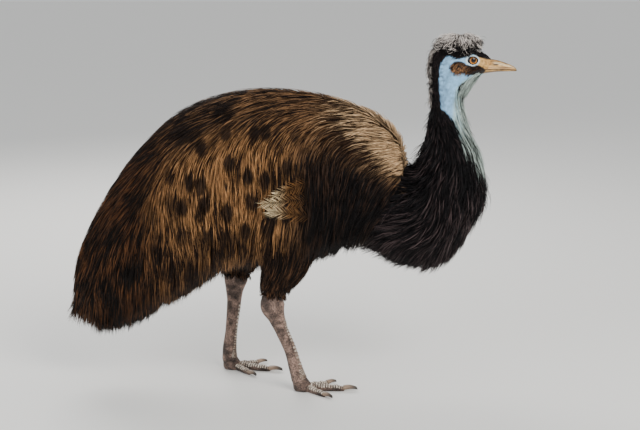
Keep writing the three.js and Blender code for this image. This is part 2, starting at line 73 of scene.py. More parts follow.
def makeStage():
    scene = bpy.context.scene
    camera = bpy.data.cameras.new("camera")
    camera.lens = view["lens"]
    camera.sensor_width = view["sensor"]
    holder = bpy.data.objects.new("camera", camera)
    holder.location = view["place"]
    holder.rotation_euler = (math.radians(view["tilt"]), 0, 0)
    scene.collection.objects.link(holder)
    scene.camera = holder
    for light in lights:
        lamp = bpy.data.lights.new(light["name"], "AREA")
        lamp.energy = light["power"]
        lamp.size = light["size"]
        lamp.color = light["colour"]
        lampHolder = bpy.data.objects.new(light["name"], lamp)
        lampHolder.location = light["place"]
        aim = Vector(lightsAim) - Vector(light["place"])
        lampHolder.rotation_euler = aim.to_track_quat("-Z", "Y").to_euler()
        scene.collection.objects.link(lampHolder)
    world = bpy.data.worlds.new("studio")
    world.use_nodes = True
    sky = world.node_tree.nodes["Background"]
    sky.inputs["Color"].default_value = (*skyLook["colour"], 1)
    sky.inputs["Strength"].default_value = skyLook["strength"]
    scene.world = world
    mesh = bpy.data.meshes.new("floor")
    bm = bmesh.new()
    bmesh.ops.create_grid(bm, x_segments=1, y_segments=1, size=floorLook["size"])
    bm.to_mesh(mesh)
    bm.free()
    floor = bpy.data.objects.new("floor", mesh)
    scene.collection.objects.link(floor)
    material = bpy.data.materials.new("floor")
    material.use_nodes = True
    shader = material.node_tree.nodes["Principled BSDF"]
    shader.inputs["Base Color"].default_value = (*floorLook["colour"], 1)
    shader.inputs["Roughness"].default_value = floorLook["roughness"]
    mesh.materials.append(material)
    floor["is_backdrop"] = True


makeStage()


# forms that skin and coat share

def smooth(value, low, high):
    share = np.clip((value - low) / (high - low), 0, 1)
    return share * share * (3 - 2 * share)


def unit(vectors):
    return vectors / np.maximum(np.linalg.norm(vectors, axis=-1, keepdims=True), 1e-9)


def mix(a, b, share):
    return a + (b - a) * share


def millimetres(points):  # x, y and z apart
    return (points[..., i] * 1000 for i in range(3))


class SmoothLine:  # a centripetal curve through its points
    def __init__(self, points):
        self.points = np.array(points, float)
        ends = [2 * self.points[0] - self.points[1], 2 * self.points[-1] - self.points[-2]]
        self.padded = np.vstack([ends[0], self.points, ends[1]])
        gaps = np.sqrt(np.linalg.norm(np.diff(self.padded, axis=0), axis=1))
        middle = np.where(gaps[1:-1] < 1e-4, 1, gaps[1:-1])
        before, after = (np.where(part < 1e-4, middle, part) for part in (gaps[:-2], gaps[2:]))
        self.gaps = [before, middle, after]

    def at(self, along):
        last = len(self.points) - 1
        place = np.clip(along, 0, 1) * last
        i = np.minimum(place.astype(int), last - 1)
        w = (place - i)[..., None]
        a, b, c, d = (self.padded[i + k] for k in range(4))
        e, f, g = (gap[i][..., None] for gap in self.gaps)
        start = ((b - a) / e - (c - a) / (e + f) + (c - b) / f) * f
        end = ((c - b) / f - (d - b) / (f + g) + (d - c) / g) * f
        bend = w * (2 * b - 2 * c + start + end)
        return b + w * (start + w * (-3 * b + 3 * c - 2 * start - end + bend))


# Surfaces take how far along, the turn round them and a margin in mm.
# Turn 0 is the left side, and a quarter on is the top.
nearby = 1e-3  # directions along a surface are measured over this step


def profile(stations):
    top = SmoothLine([s[0] for s in stations])
    bottom = SmoothLine([s[1] for s in stations])
    girth = SmoothLine([(s[2], 0) for s in stations])

    def shape(along, turn, margin=0):
        high, low = top.at(along), bottom.at(along)
        middle, reach = (high + low) / 2, (high - low) / 2
        half = np.linalg.norm(reach, axis=-1)
        side = middle + reach * ((half + margin) / half * np.sin(turn))[..., None]
        out = (girth.at(along)[..., 0] + margin) * np.cos(turn) * (1 - 0.1 * np.sin(turn))
        return np.stack([side[..., 0], out, side[..., 1]], -1) / 1000

    return shape


def limb(stations):
    spine = SmoothLine([s[:3] for s in stations])
    girth = SmoothLine([(s[3] / 2, s[4] / 2) for s in stations])

    def shape(along, turn, margin=0):
        before, after = np.maximum(along - nearby, 0), np.minimum(along + nearby, 1)
        way = unit(spine.at(after) - spine.at(before))
        left = unit(np.array([0.0, 1, 0]) - way * way[..., 1:2])
        back = np.cross(left, way)
        size = girth.at(along) + np.asarray(margin)[..., None]
        across = left * (size[..., 1] * np.cos(turn))[..., None]
        return (spine.at(along) + across + back * (size[..., 0] * np.sin(turn))[..., None]) / 1000

    return shape


def dome(centre, size):
    def shape(along, turn, margin=0):
        long, wide, tall = (radius + margin for radius in size)
        swell = np.sin(np.pi * along)
        off = [-long * np.cos(np.pi * along), wide * swell * np.cos(turn), tall * swell * np.sin(turn)]
        return (np.stack(off, -1) + np.array(centre)) / 1000

    return shape


bodyStations = [
    ((-748, 350), (-704, 258), 36),
    ((-732, 442), (-634, 238), 62),
    ((-645, 628), (-508, 262), 105),
    ((-519, 808), (-404, 325), 148),
    ((-354, 960), (-290, 392), 190),
    ((-134, 1026), (-172, 455), 212),
    ((106, 1011), (-12, 450), 213),
    ((302, 945), (118, 476), 188),
    ((380, 872), (192, 498), 164),
    ((406, 768), (262, 512), 138),
]
neckStations = [
    ((406, 768), (262, 512), 138),
    ((432, 764), (378, 438), 130),
    ((453, 787), (532, 434), 120),
    ((473, 832), (662, 622), 100),
    ((485, 900), (666, 780), 77),
    ((491, 960), (618, 896), 54),
    ((494, 1015), (594, 990), 42),
    ((491, 1080), (600, 1046), 41),
]
headStations = [
    ((491, 1080), (600, 1046), 41),
    ((488, 1128), (628, 1060), 47),
    ((500, 1170), (646, 1076), 50),
    ((532, 1188), (652, 1082), 50),
    ((578, 1193), (657, 1086), 47),
    ((624, 1181), (662, 1090), 42),
    ((660, 1166), (667, 1093), 35),
    ((690, 1146), (672, 1096), 28),
]
legs = {
    "right": {
        "side": -1,
        "stations": [
            (-4, -104, 560, 196, 120),
            (-4, -110, 500, 172, 112),
            (-12, -116, 456, 146, 96),
            (-36, -120, 398, 104, 72),
            (-52, -122, 343, 74, 54),
            (-56, -122, 306, 84, 58),
            (-42, -122, 262, 58, 44),
            (-25, -123, 217, 45, 35),
            (5, -125, 145, 42, 33),
            (25, -127, 73, 48, 42),
            (35, -127, 40, 54, 50),
        ],
        "ball": (54, -127),
        "yaw": -3,
        "hock": 0.40,
        "bareBelow": 346,
    },
    "left": {
        "side": 1,
        "stations": [
            (-150, 96, 570, 156, 116),
            (-154, 102, 500, 136, 106),
            (-162, 106, 446, 112, 88),
            (-176, 108, 404, 92, 68),
            (-190, 110, 374, 78, 55),
            (-196, 110, 345, 86, 58),
            (-202, 110, 300, 64, 46),
            (-204, 110, 262, 52, 37),
            (-216, 110, 149, 43, 33),
            (-224, 110, 73, 50, 42),
            (-224, 110, 40, 54, 50),
        ],
        "ball": (-208, 110),
        "yaw": -14,
        "hock": 0.46,
        "bareBelow": 358,
    },
}
toes = {
    "inner": {"angle": -36, "reach": 96, "half": 13, "high": 23, "claw": 38, "plates": 9},
    "middle": {"angle": 0, "reach": 138, "half": 16, "high": 26, "claw": 48, "plates": 14},
    "outer": {"angle": 42, "reach": 98, "half": 13, "high": 23, "claw": 38, "plates": 9},
}
billStations = [
    (650, 1142, 1110, 1093, 29),
    (672, 1141, 1110.5, 1095, 28),
    (694, 1143, 1111, 1098, 25),
    (716, 1139, 1111, 1100, 21),
    (738, 1132, 1110, 1101, 16),
    (758, 1124, 1108.5, 1101.5, 11),
    (773, 1116, 1106.5, 1101.5, 6.5),
    (780, 1109, 1104.5, 1102, 2.5),
]
eyeShape = {"centre": (624, 26, 1142), "radius": 22, "opening": (17.5, 13.5)}
crestShape = {"centre": (581.5, 0, 1180.2), "size": (70.6, 39.1, 41.6)}
wingShape = {  # each feather's root and tip as x, z, their middle, and how far out root and tip lie
    "feathers": [((104, 770), (-44, 712)), ((112, 706), (-78, 686)), ((96, 640), (-60, 660))],
    "centre": (0, 694),
    "out": (204, 227),
    "unwrap": {"right": (0.57, 0.63), "left": (0.57, 0.81)},
}
hem = [  # how far down the free tips reach under the body, as x and height
    (-760, 210), (-680, 172), (-600, 182), (-480, 246), (-360, 306), (-240, 394), (-100, 410),
    (50, 420), (180, 474), (300, 456), (380, 408), (480, 396), (560, 418), (640, 490), (720, 600),
]


class Hide:  # a surface that can be walked over
    def __init__(self, shape, island):
        self.shape = shape
        self.island = island  # its place on the unwrap: corner and size

    def frame(self, along, turn):
        before, after = np.maximum(along - nearby, 0), np.minimum(along + nearby, 1)
        at = self.shape(along, turn)
        forward = (self.shape(after, turn) - self.shape(before, turn)) / (after - before)[..., None]
        around = (self.shape(along, turn + nearby) - self.shape(along, turn - nearby)) / (2 * nearby)
        normal = unit(np.cross(forward, around))
        outward = at - self.shape(along, turn + np.pi)
        normal = np.where(np.sum(normal * outward, -1, keepdims=True) < 0, -normal, normal)
        return {"at": at, "forward": forward, "around": around, "normal": normal}

    def moved(self, along, turn, spot, move):
        forward, around = spot["forward"], spot["around"]
        pairs = ((forward, forward), (forward, around), (around, around), (move, forward), (move, around))
        ff, fa, aa, mf, ma = (np.sum(a * b, -1) for a, b in pairs)
        whole = np.maximum(ff * aa - fa * fa, 1e-15)
        onward = np.clip(along + (mf * aa - ma * fa) / whole, nearby, 1 - nearby)
        return onward, turn + (ma * ff - mf * fa) / whole

    def unwrapped(self, along, turn):
        (u, v), (width, height) = self.island
        return np.stack([u + width * along, v + height * ((turn / (2 * np.pi)) % 1)], -1)


hides = {
    "body": Hide(profile(bodyStations), ((0.01, 0.01), (0.60, 0.60))),
    "neck": Hide(profile(neckStations), ((0.63, 0.01), (0.36, 0.36))),
    "head": Hide(profile(headStations), ((0.63, 0.39), (0.36, 0.22))),
    "crest": Hide(dome(**crestShape), ((0.01, 0.63), (0.22, 0.22))),
    "right": Hide(limb(legs["right"]["stations"]), ((0.25, 0.63), (0.30, 0.16))),
    "left": Hide(limb(legs["left"]["stations"]), ((0.25, 0.81), (0.30, 0.16))),
}


# colours: palettes as display values, fields over the body as smooth functions of place

def linear(*colour):
    values = np.array(colour) / 255
    return np.where(values <= 0.04045, values / 12.92, ((values + 0.055) / 1.055) ** 2.4)


plumageColours = {
    "back": (linear(24, 14, 10), linear(142, 104, 70)),
    "flank": (linear(34, 19, 11), linear(178, 130, 84)),
    "mantle": (linear(46, 28, 17), linear(216, 180, 138)),
    "tail": (linear(14, 8, 6), linear(98, 62, 36)),
    "shoulder": (linear(10, 6, 7), linear(58, 40, 30)),
    "breast": (linear(9, 7, 10), linear(78, 64, 64)),
    "spot": linear(30, 19, 14),
}
skinColours = {
    "face": linear(148, 198, 236),
    "faceShade": linear(88, 110, 134),
    "throat": linear(184, 212, 210),
    "eyeRing": linear(214, 232, 240),
    "under": linear(22, 15, 13),
    "leg": linear(154, 126, 112),
    "legDark": linear(32, 21, 17),
}
spots = {"cell": (74, 118), "edge": (0.33, 0.20)}  # each dark oval's cell in mm, and the oval's rim
partLine = {"side": -52, "from": 120, "to": 330}  # the parting runs down the near side of the shoulder


def noise(points, scale, seed=0):  # smooth values from 0 to 1, for points in metres and a scale in mm
    place = np.asarray(points) * 1000 / scale + seed * 17.3
    cell = np.floor(place).astype(np.int64)
    part = place - cell
    part = part * part * (3 - 2 * part)
    total = 0
    for corner in range(8):
        bits = np.array([corner & 1, corner >> 1 & 1, corner >> 2 & 1])
        x, y, z = np.moveaxis(cell + bits, -1, 0)
        key = np.sin(x * 127.1 + y * 311.7 + z * 74.7 + seed * 9.1) * 43758.5453
        weight = np.prod(np.where(bits == 1, part, 1 - part), -1)
        total = total + weight * (key - np.floor(key))
    return total


backLine = SmoothLine([s[0] for s in bodyStations])
backPoints = backLine.at(np.linspace(0, 1, 200))


def besideBack(points):  # x, height as seen from the side, and depth below the line of the back, in mm
    x, y, z = millimetres(points)
    height = z - 0.2 * np.abs(y)
    return x, height, np.interp(x, backPoints[:, 0], backPoints[:, 1]) - height


def partingAt(x):
    return partLine["side"] / 1000 * smooth(x, partLine["from"], partLine["to"])


def spotPlace(points, shift):  # place in the pattern of dark ovals, and how strong they are there
    x, height, depth = besideBack(points)
    weight = smooth(-x, -70, 10) * (1 - smooth(-x, 360, 450)) * smooth(depth, 70, 130)
    weight = weight * smooth(height, 470, 540)
    across, up = x / spots["cell"][0], height / spots["cell"][1]
    return np.stack([across + 0.07 * shift, up + 0.14 * shift, 0.9 * weight], -1)


def bodyTone(points, strand, clump):
    x, height, depth = besideBack(points)
    cloud = noise(points, 70, 3)
    near = np.abs(points[..., 1] - partingAt(x)) * 1000
    mantle = smooth(x, 40, 190) * (1 - smooth(depth, 120, 235)) * smooth(height, 690, 770)
    shoulder = smooth(x, -70, 90) * smooth(depth, 130, 260)
    tail = smooth(-x, 330, 540)
    flank = (1 - tail) * (1 - smooth(x, -60, 70)) * smooth(depth, 90, 220)
    back = np.clip(1 - mantle - shoulder - tail - flank, 0, 1)
    regions = [  # palette, weight and share of pale strands
        ("mantle", mantle, 0.28 + 0.46 * smooth(x, 160, 360) - 0.2 * smooth(depth, 70, 200)),
        ("shoulder", shoulder * (1 - mantle), 0.30),
        ("tail", tail, 0.34),
        ("flank", flank, 0.52 - 0.26 * smooth(-height, -600, -470)),
        ("back", back, 0.26 + 0.26 * smooth(x, -260, 60)),
    ]
    value = 0.7 * strand + 0.3 * clump
    total = 0
    weights = 0
    for name, weight, share in regions:
        dark, pale = plumageColours[name]
        limit = 1 - np.clip(share + 0.34 * (cloud - 0.5), 0.02, 0.98)
        tone = smooth(value, limit - 0.16, limit + 0.2)
        total = total + (dark + (pale - dark) * tone[..., None]) * weight[..., None]
        weights = weights + weight
    colour = total / np.maximum(weights, 1e-6)[..., None]
    parting = (1 - smooth(near, 5, 13)) * smooth(x, 150, 250) * (depth < 240)
    return mix(colour, plumageColours["spot"], (0.9 * parting)[..., None])


edges = {  # seen from the side: the cap's is a height for each x, the others are an x for each height
    "cap": [
        (480, 1120), (516, 1141), (547, 1167), (557, 1155), (575, 1147),
        (602, 1152), (624, 1163), (648, 1151), (672, 1144), (700, 1139),
    ],
    "nape": [(930, 545), (946, 524), (1002, 517), (1086, 510), (1141, 516), (1167, 547)],
    "neck": [(740, 690), (789, 640), (833, 610), (876, 580), (932, 562), (960, 545), (975, 527), (990, 400)],
    "throat": [(860, 560), (932, 560), (985, 563), (1044, 570), (1072, 596), (1094, 623), (1110, 700)],
}


def edgeAt(name, where):
    places, values = np.transpose(edges[name])
    return np.interp(where, places, values)


def headMasks(points):  # cap, neck, throat and ear from 0 to 1, and the way out from the eye, 1 at the ring
    x, _, z = millimetres(points)
    cap = smooth(z - edgeAt("cap", x), -2, 3)
    cap = np.maximum(cap, smooth(edgeAt("nape", z) - x, -3, 3))
    neck = smooth(edgeAt("neck", z) - x, -4, 4) * (1 - smooth(z, 980, 995))
    throat = smooth(x - edgeAt("throat", z), -8, 8) * (1 - smooth(z, 1092, 1104))
    rear = np.hypot((x - 576) / 30, (z - 1118) / 23)
    front = np.hypot((x - 626) / 46, (z - 1110 + 0.1 * (x - 626)) / 18.5)
    ear = 1 - smooth(np.minimum(rear, front), 0.88, 1.06)
    ring = np.hypot((x - 624) / 24, (z - 1142) / 18)
    return cap, neck, throat * (1 - neck), ear, ring


def isScaled(points):  # below the hocks
    x, y, z = millimetres(points)
    top = np.where(y < 0, legs["right"]["bareBelow"], legs["left"]["bareBelow"])
    return (np.abs(y) < 220) & (x > -300) & (z < top)


def hornTan(points):
    grain = noise(points * np.array([0.3, 1, 1]), 4, 9)
    return mix(linear(172, 120, 62), linear(234, 188, 116), grain[:, None])


def skinTone(points):
    x, _, z = millimetres(points)
    cap, neck, throat, ear, ring = headMasks(points)
    cloud = noise(points, 9, 1) * 0.6 + noise(points, 26, 2) * 0.4
    bright = 0.5 + 0.5 * smooth(cloud, 0.2, 0.62)
    colour = mix(skinColours["faceShade"], skinColours["face"], bright[..., None])
    speckle = smooth(noise(points, 5, 21) * 0.6 + cloud * 0.4, 0.38, 0.66)
    greyed = 0.8 * (1 - smooth(x, 515, 572)) * speckle
    colour = mix(colour, skinColours["faceShade"] * 0.9, greyed[..., None])
    colour = mix(colour, skinColours["throat"], (0.75 * throat)[..., None])
    lores = smooth(x, 637, 642) * smooth(z, 1094, 1097)
    stipple = 0.5 * smooth(noise(points, 3, 14), 0.55, 0.8) * (1 - smooth(x, 672, 692))
    colour = mix(colour, mix(hornTan(points), skinColours["under"], stipple[:, None]), lores[..., None])
    colour = mix(colour, skinColours["eyeRing"], (1 - smooth(ring, 0.96, 1.06))[..., None])
    dark = np.clip(np.maximum(np.maximum(cap, neck), ear * smooth(ring, 0.95, 1.05)), 0, 1)
    colour = mix(colour, skinColours["under"], dark[..., None])
    bare = smooth(z, 860, 900) * smooth(x, 440, 460)
    half = np.full(len(points), 0.5)
    underBody, underNeck = bodyTone(points, half, half), neckTone(points, half, half)
    # painted shade: skin under the body and neck coats takes the plumage's middle tone, darkened to 0.6 as
    # the shade beneath the feathers
    shadedUnderCoat = 0.6 * mix(underBody, underNeck, smooth(x, 390, 410)[:, None])
    colour = mix(shadedUnderCoat, colour, bare[..., None])
    grain = smooth(noise(points, 13, 6) * 0.5 + noise(points, 40, 7) * 0.5, 0.3, 0.7)
    scaled = mix(skinColours["legDark"], skinColours["leg"], 0.16 + 0.84 * grain[..., None])
    # painted shade: the skin low on the feet, within about 44 mm of the floor, is darker
    scaled = scaled * mix(0.55, 1, smooth(z, 30, 44))[..., None]
    return np.where(isScaled(points)[..., None], scaled, colour)


def neckTone(points, strand, clump):
    x, height, _ = besideBack(points)
    dark, pale = plumageColours["breast"]
    share = 0.16 + 0.2 * (noise(points, 70, 8) - 0.5) + 0.16 * smooth(-height, -760, -560)
    limit = 1 - np.clip(share, 0.02, 0.9)
    tone = smooth(0.7 * strand + 0.3 * clump, limit - 0.25, limit + 0.25)
    return dark + (pale - dark) * tone[..., None]


def plainTone(dark, pale, share=0.5, soft=0.25):  # a share of pale strands among dark ones
    def tone(points, strand, clump):
        lit = smooth(0.75 * strand + 0.25 * clump, 1 - share - soft, 1 - share + soft)
        return dark + (pale - dark) * lit[..., None]

    return tone


# materials

def addNode(tree, kind, inputs=None, **settings):
    node = tree.nodes.new(kind)
    for name, value in settings.items():
        setattr(node, name, value)
    for name, value in (inputs or {}).items():
        node.inputs[name].default_value = value
    return node


def addSockets(group, way, **sockets):
    for name, kind in sockets.items():
        group.interface.new_socket(name, in_out=way, socket_type="NodeSocket" + kind)


def connect(tree, *pairs):
    for source, target in pairs:
        tree.links.new(source, target)


def makeMottle():  # shared: a colour varied by fine and broad noise, and a height for bump
    group = bpy.data.node_groups.new("mottle", "ShaderNodeTree")
    addSockets(group, "INPUT", Colour="Color", Fine="Float", Broad="Float", Dark="Float", Light="Float")
    addSockets(group, "INPUT", Place="Vector")
    addSockets(group, "OUTPUT", Colour="Color", Height="Float")
    start, end = group.nodes.new("NodeGroupInput"), group.nodes.new("NodeGroupOutput")
    fine = addNode(group, "ShaderNodeTexNoise", {"Detail": 4})
    broad = addNode(group, "ShaderNodeTexNoise")
    both = addNode(group, "ShaderNodeMath", operation="ADD")
    spread = addNode(group, "ShaderNodeMapRange", {"From Min": 0.75, "From Max": 1.25})
    times = addNode(group, "ShaderNodeMix", data_type="RGBA", blend_type="MULTIPLY")
    times.inputs["Factor"].default_value = 1
    for number, (node, scale) in enumerate(((fine, "Fine"), (broad, "Broad"))):
        connect(
            group,
            (start.outputs["Place"], node.inputs["Vector"]),
            (start.outputs[scale], node.inputs["Scale"]),
            (node.outputs["Fac"], both.inputs[number]),
        )
    connect(
        group,
        (both.outputs[0], spread.inputs["Value"]),
        (start.outputs["Dark"], spread.inputs["To Min"]),
        (start.outputs["Light"], spread.inputs["To Max"]),
        (start.outputs["Colour"], times.inputs["A"]),
        (spread.outputs["Result"], times.inputs["B"]),
        (times.outputs["Result"], end.inputs["Colour"]),
        (both.outputs[0], end.inputs["Height"]),
    )
    return group


def makeOvals():  # shared by coat and skin: a colour darkened in one oval of each cell
    group = bpy.data.node_groups.new("ovals", "ShaderNodeTree")
    addSockets(group, "INPUT", Colour="Color", Spot="Vector")
    addSockets(group, "OUTPUT", Colour="Color")
    start, end = group.nodes.new("NodeGroupInput"), group.nodes.new("NodeGroupOutput")
    parts = addNode(group, "ShaderNodeSeparateXYZ")
    cells = addNode(group, "ShaderNodeTexVoronoi", voronoi_dimensions="2D", feature="F1")
    cells.inputs["Scale"].default_value = 1
    cells.inputs["Randomness"].default_value = 0.7
    oval = addNode(group, "ShaderNodeMapRange", interpolation_type="SMOOTHSTEP")
    oval.inputs["From Min"].default_value = spots["edge"][0]
    oval.inputs["From Max"].default_value = spots["edge"][1]
    times = addNode(group, "ShaderNodeMath", operation="MULTIPLY")
    darken = addNode(group, "ShaderNodeMix", data_type="RGBA")
    darken.inputs["B"].default_value = (*plumageColours["spot"], 1)
    connect(
        group,
        (start.outputs["Spot"], cells.inputs["Vector"]),
        (start.outputs["Spot"], parts.inputs["Vector"]),
        (cells.outputs["Distance"], oval.inputs["Value"]),
        (oval.outputs["Result"], times.inputs[0]),
        (parts.outputs["Z"], times.inputs[1]),
        (times.outputs[0], darken.inputs["Factor"]),
        (start.outputs["Colour"], darken.inputs["A"]),
        (darken.outputs["Result"], end.inputs["Colour"]),
    )
    return group


mottle = makeMottle()
ovals = makeOvals()


def tintOf(tree):
    return addNode(tree, "ShaderNodeAttribute", attribute_name="tint").outputs["Color"]


def ovalTint(tree):
    node = addNode(tree, "ShaderNodeGroup", node_tree=ovals)
    spot = addNode(tree, "ShaderNodeAttribute", attribute_name="spot")
    connect(tree, (tintOf(tree), node.inputs["Colour"]), (spot.outputs["Vector"], node.inputs["Spot"]))
    return node.outputs["Colour"]


def multiplied(tree, first, second):
    node = addNode(tree, "ShaderNodeMix", data_type="RGBA", blend_type="MULTIPLY")
    node.inputs["Factor"].default_value = 1
    connect(tree, (first, node.inputs["A"]), (second, node.inputs["B"]))
    return node.outputs["Result"]


def newMaterial(name, look):
    material = bpy.data.materials.new(name)
    material.use_nodes = True
    for socket, value in look.items():
        material.node_tree.nodes["Principled BSDF"].inputs[socket].default_value = value
    return material, material.node_tree


def mottled(tree, colour, grain, stretch=(1, 1, 1)):  # grain: fine and broad scale, darkest and lightest
    place = addNode(tree, "ShaderNodeTexCoord")
    turn = addNode(tree, "ShaderNodeMapping", {"Scale": stretch})
    node = addNode(tree, "ShaderNodeGroup", node_tree=mottle)
    for name, value in zip(("Fine", "Broad", "Dark", "Light"), grain):
        node.inputs[name].default_value = value
    connect(
        tree,
        (place.outputs["Object"], turn.inputs["Vector"]),
        (turn.outputs["Vector"], node.inputs["Place"]),
        (colour, node.inputs["Colour"]),
        (node.outputs["Colour"], tree.nodes["Principled BSDF"].inputs["Base Color"]),
    )
    return node.outputs["Height"]


def bumped(tree, height, strength, distance):
    bump = addNode(tree, "ShaderNodeBump", {"Strength": strength, "Distance": distance})
    normal = tree.nodes["Principled BSDF"].inputs["Normal"]
    connect(tree, (height, bump.inputs["Height"]), (bump.outputs["Normal"], normal))


def plumageMaterial(name, roughness, tint):
    material, tree = newMaterial(name, {"Roughness": roughness, "Specular IOR Level": 0.18})
    mottled(tree, tint(tree), (420, 60, 0.72, 1.24))
    return material


def skinMaterial():
    material, tree = newMaterial("bareSkin", {"Roughness": 0.62, "Specular IOR Level": 0.35})
    bumped(tree, mottled(tree, ovalTint(tree), (700, 160, 0.86, 1.12)), 0.5, 0.0012)
    return material


def scaledMaterial():  # leg skin broken into small scales
    material, tree = newMaterial("scales", {"Roughness": 0.58, "Specular IOR Level": 0.4})
    place = addNode(tree, "ShaderNodeTexCoord")
    cells = addNode(tree, "ShaderNodeTexVoronoi", feature="DISTANCE_TO_EDGE")
    cells.inputs["Scale"].default_value = 190
    edge = addNode(tree, "ShaderNodeMapRange", {"From Max": 0.14})
    # painted shade in the gaps between scales: the colour is darkened to 0.45 at each cell's edge
    gapShade = addNode(tree, "ShaderNodeMapRange", {"From Max": 0.1, "To Min": 0.45})
    connect(
        tree,
        (place.outputs["Object"], cells.inputs["Vector"]),
        (cells.outputs["Distance"], gapShade.inputs["Value"]),
        (cells.outputs["Distance"], edge.inputs["Value"]),
    )
    mottled(tree, multiplied(tree, tintOf(tree), gapShade.outputs["Result"]), (330, 160, 0.3, 1.55))
    bumped(tree, edge.outputs["Result"], 0.75, 0.0012)
    return material


def hornMaterial(name, roughness, stretch):  # long fine grain on a tinted surface
    look = {"Roughness": roughness, "Coat Weight": 0.08, "Coat Roughness": 0.3}
    material, tree = newMaterial(name, look)
    bumped(tree, mottled(tree, tintOf(tree), (260, 70, 0.72, 1.18), stretch), 0.35, 0.0006)
    return material


irisStops = [  # how far out from the middle of the pupil, and the colour there
    (0.0, (5, 4, 5)),
    (0.33, (6, 5, 5)),
    (0.36, (92, 48, 14)),
    (0.42, (190, 112, 26)),
    (0.51, (216, 142, 46)),
    (0.56, (120, 66, 20)),
    (0.60, (20, 12, 10)),
    (1.0, (12, 8, 8)),
]


def eyeMaterial():
    look = {"Roughness": 0.12, "Specular IOR Level": 0.25, "Coat Weight": 0.4, "Coat Roughness": 0.03}
    material, tree = newMaterial("eye", look)
    away = addNode(tree, "ShaderNodeAttribute", attribute_name="away")
    ramp = addNode(tree, "ShaderNodeValToRGB")
    stops = ramp.color_ramp.elements
    while len(stops) < len(irisStops):
        stops.new(0.5)
    for stop, (place, colour) in zip(stops, irisStops):
        stop.position = place
        stop.color = (*linear(*colour), 1)
    connect(tree, (away.outputs["Fac"], ramp.inputs["Fac"]))
    mottled(tree, multiplied(tree, ramp.outputs["Color"], tintOf(tree)), (900, 300, 0.75, 1.2))
    return material


materials = {
    "plumage": plumageMaterial("plumage", 0.62, ovalTint),
    "darkPlumage": plumageMaterial("darkPlumage", 0.6, tintOf),
    "skin": skinMaterial(),
    "scales": scaledMaterial(),
    "bill": hornMaterial("billHorn", 0.42, (0.18, 1, 1)),
    "claw": hornMaterial("clawHorn", 0.45, (0.4, 0.4, 1)),
    "eye": eyeMaterial(),
}
print("materials made")


# the skin, one closed surface from tail to toes

def addPiece(name, mesh, material, replaced=()):
    piece = bpy.data.objects.new(name, mesh)
    bpy.context.scene.collection.objects.link(piece)
    for finish in material if isinstance(material, (list, tuple)) else [material]:
        mesh.materials.append(finish)
    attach(piece, "root")
    if replaced:
        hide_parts(*replaced)


def pointsOf(mesh):
    flat = np.empty(len(mesh.vertices) * 3)
    mesh.vertices.foreach_get("co", flat)
    return flat.reshape(-1, 3)


def setPoints(mesh, points):
    mesh.vertices.foreach_set("co", np.asarray(points, float).ravel())
    mesh.update()


def setTint(mesh, colours):
    layer = mesh.color_attributes.new("tint", "FLOAT_COLOR", "POINT")
    full = np.ones((len(mesh.vertices), 4))
    full[:, :3] = colours
    layer.data.foreach_set("color", full.ravel())


def setSpots(mesh, places):
    mesh.attributes.new("spot", "FLOAT_VECTOR", "POINT").data.foreach_set("vector", places.ravel())


def wrapped(name, rows, columns, place, closed=True):  # a grid rolled into a tube and closed at its ends
    bm = bmesh.new()
    bmesh.ops.create_grid(bm, x_segments=rows, y_segments=columns, size=0.5)
    share = np.array([vert.co[:2] for vert in bm.verts]) + 0.5
    for vert, point in zip(bm.verts, place(share[:, 0], share[:, 1] * 2 * np.pi)):
        vert.co = point
    bmesh.ops.remove_doubles(bm, verts=bm.verts[:], dist=2e-6)
    if closed:
        bmesh.ops.holes_fill(bm, edges=[edge for edge in bm.edges if edge.is_boundary], sides=0)
    bmesh.ops.recalc_face_normals(bm, faces=bm.faces[:])
    for face in bm.faces:
        face.smooth = True
    mesh = bpy.data.meshes.new(name)
    bm.to_mesh(mesh)
    bm.free()
    return mesh


skinDetail = {  # rows and columns of each form, how far they lie under the coat, and the relief of the face
    "body": 70, "neck": 58, "head": 92, "sides": 96, "leg": (90, 44), "pad": (34, 44), "toe": (60, 28),
    "under": 2.5, "browRise": 2.2, "gapeDepth": 2.4,
}


def trunkPoints(share, turn):
    counts = [skinDetail[key] for key in ("body", "neck", "head")]
    place = np.interp(share * sum(counts), np.cumsum([0] + counts), [0, 1, 2, 3])
    points = np.zeros((len(share), 3))
    margin = -skinDetail["under"] * (1 - smooth(place, 1.5, 1.75))
    for i, name in enumerate(("body", "neck", "head")):
        chosen = (place >= i) if i == 2 else (place >= i) & (place < i + 1)
        shape = hides[name].shape
        points[chosen] = shape(place[chosen] - i, turn[chosen], margin[chosen])
    return points


def sculptHead(points):
    x, z = points[:, 0] * 1000, points[:, 2] * 1000
    side, sign = np.abs(points[:, 1]) * 1000, np.sign(points[:, 1])
    onHead = (x > 540) & (z > 1060)
    dx, dz = x - eyeShape["centre"][0], z - eyeShape["centre"][2]
    outer, depth = eyeShape["radius"], eyeShape["centre"][1]
    near = np.hypot(dx / eyeShape["opening"][0], dz / eyeShape["opening"][1])
    far = dx * dx + dz * dz
    bulge = depth + np.sqrt(np.maximum((outer + 2.2) ** 2 - far, 0))
    sunk = depth + np.sqrt(np.maximum((outer - 5) ** 2 - far, 0))
    around = onHead & (side > 20)
    raised = np.where(around & (far < (outer + 2) ** 2), np.maximum(side, bulge), side)
    raised = np.where(around & (near < 1.0), np.minimum(sunk, raised), raised)
    brow = np.exp(-((dz - 22) / 6) ** 2) * smooth(-np.abs(dx - 4), -34, -8)
    raised = raised + np.where(around, skinDetail["browRise"] * brow, 0)
    line = np.interp(x, [596, 612, 650, 700], [1117, 1113.5, 1110.5, 1110.5])
    crease = np.exp(-((z - line) / 2.6) ** 2) * smooth(x, 600, 618) * (1 - smooth(x, 668, 684))
    raised = raised - np.where(around, skinDetail["gapeDepth"] * crease, 0)
    dimple = np.exp(-(((x - 560) / 8) ** 2 + ((z - 1122) / 9) ** 2))
    raised = raised - np.where(around, 4 * dimple, 0)
    points = points.copy()
    points[:, 1] = np.where(around, sign * raised / 1000, points[:, 1])
    return points


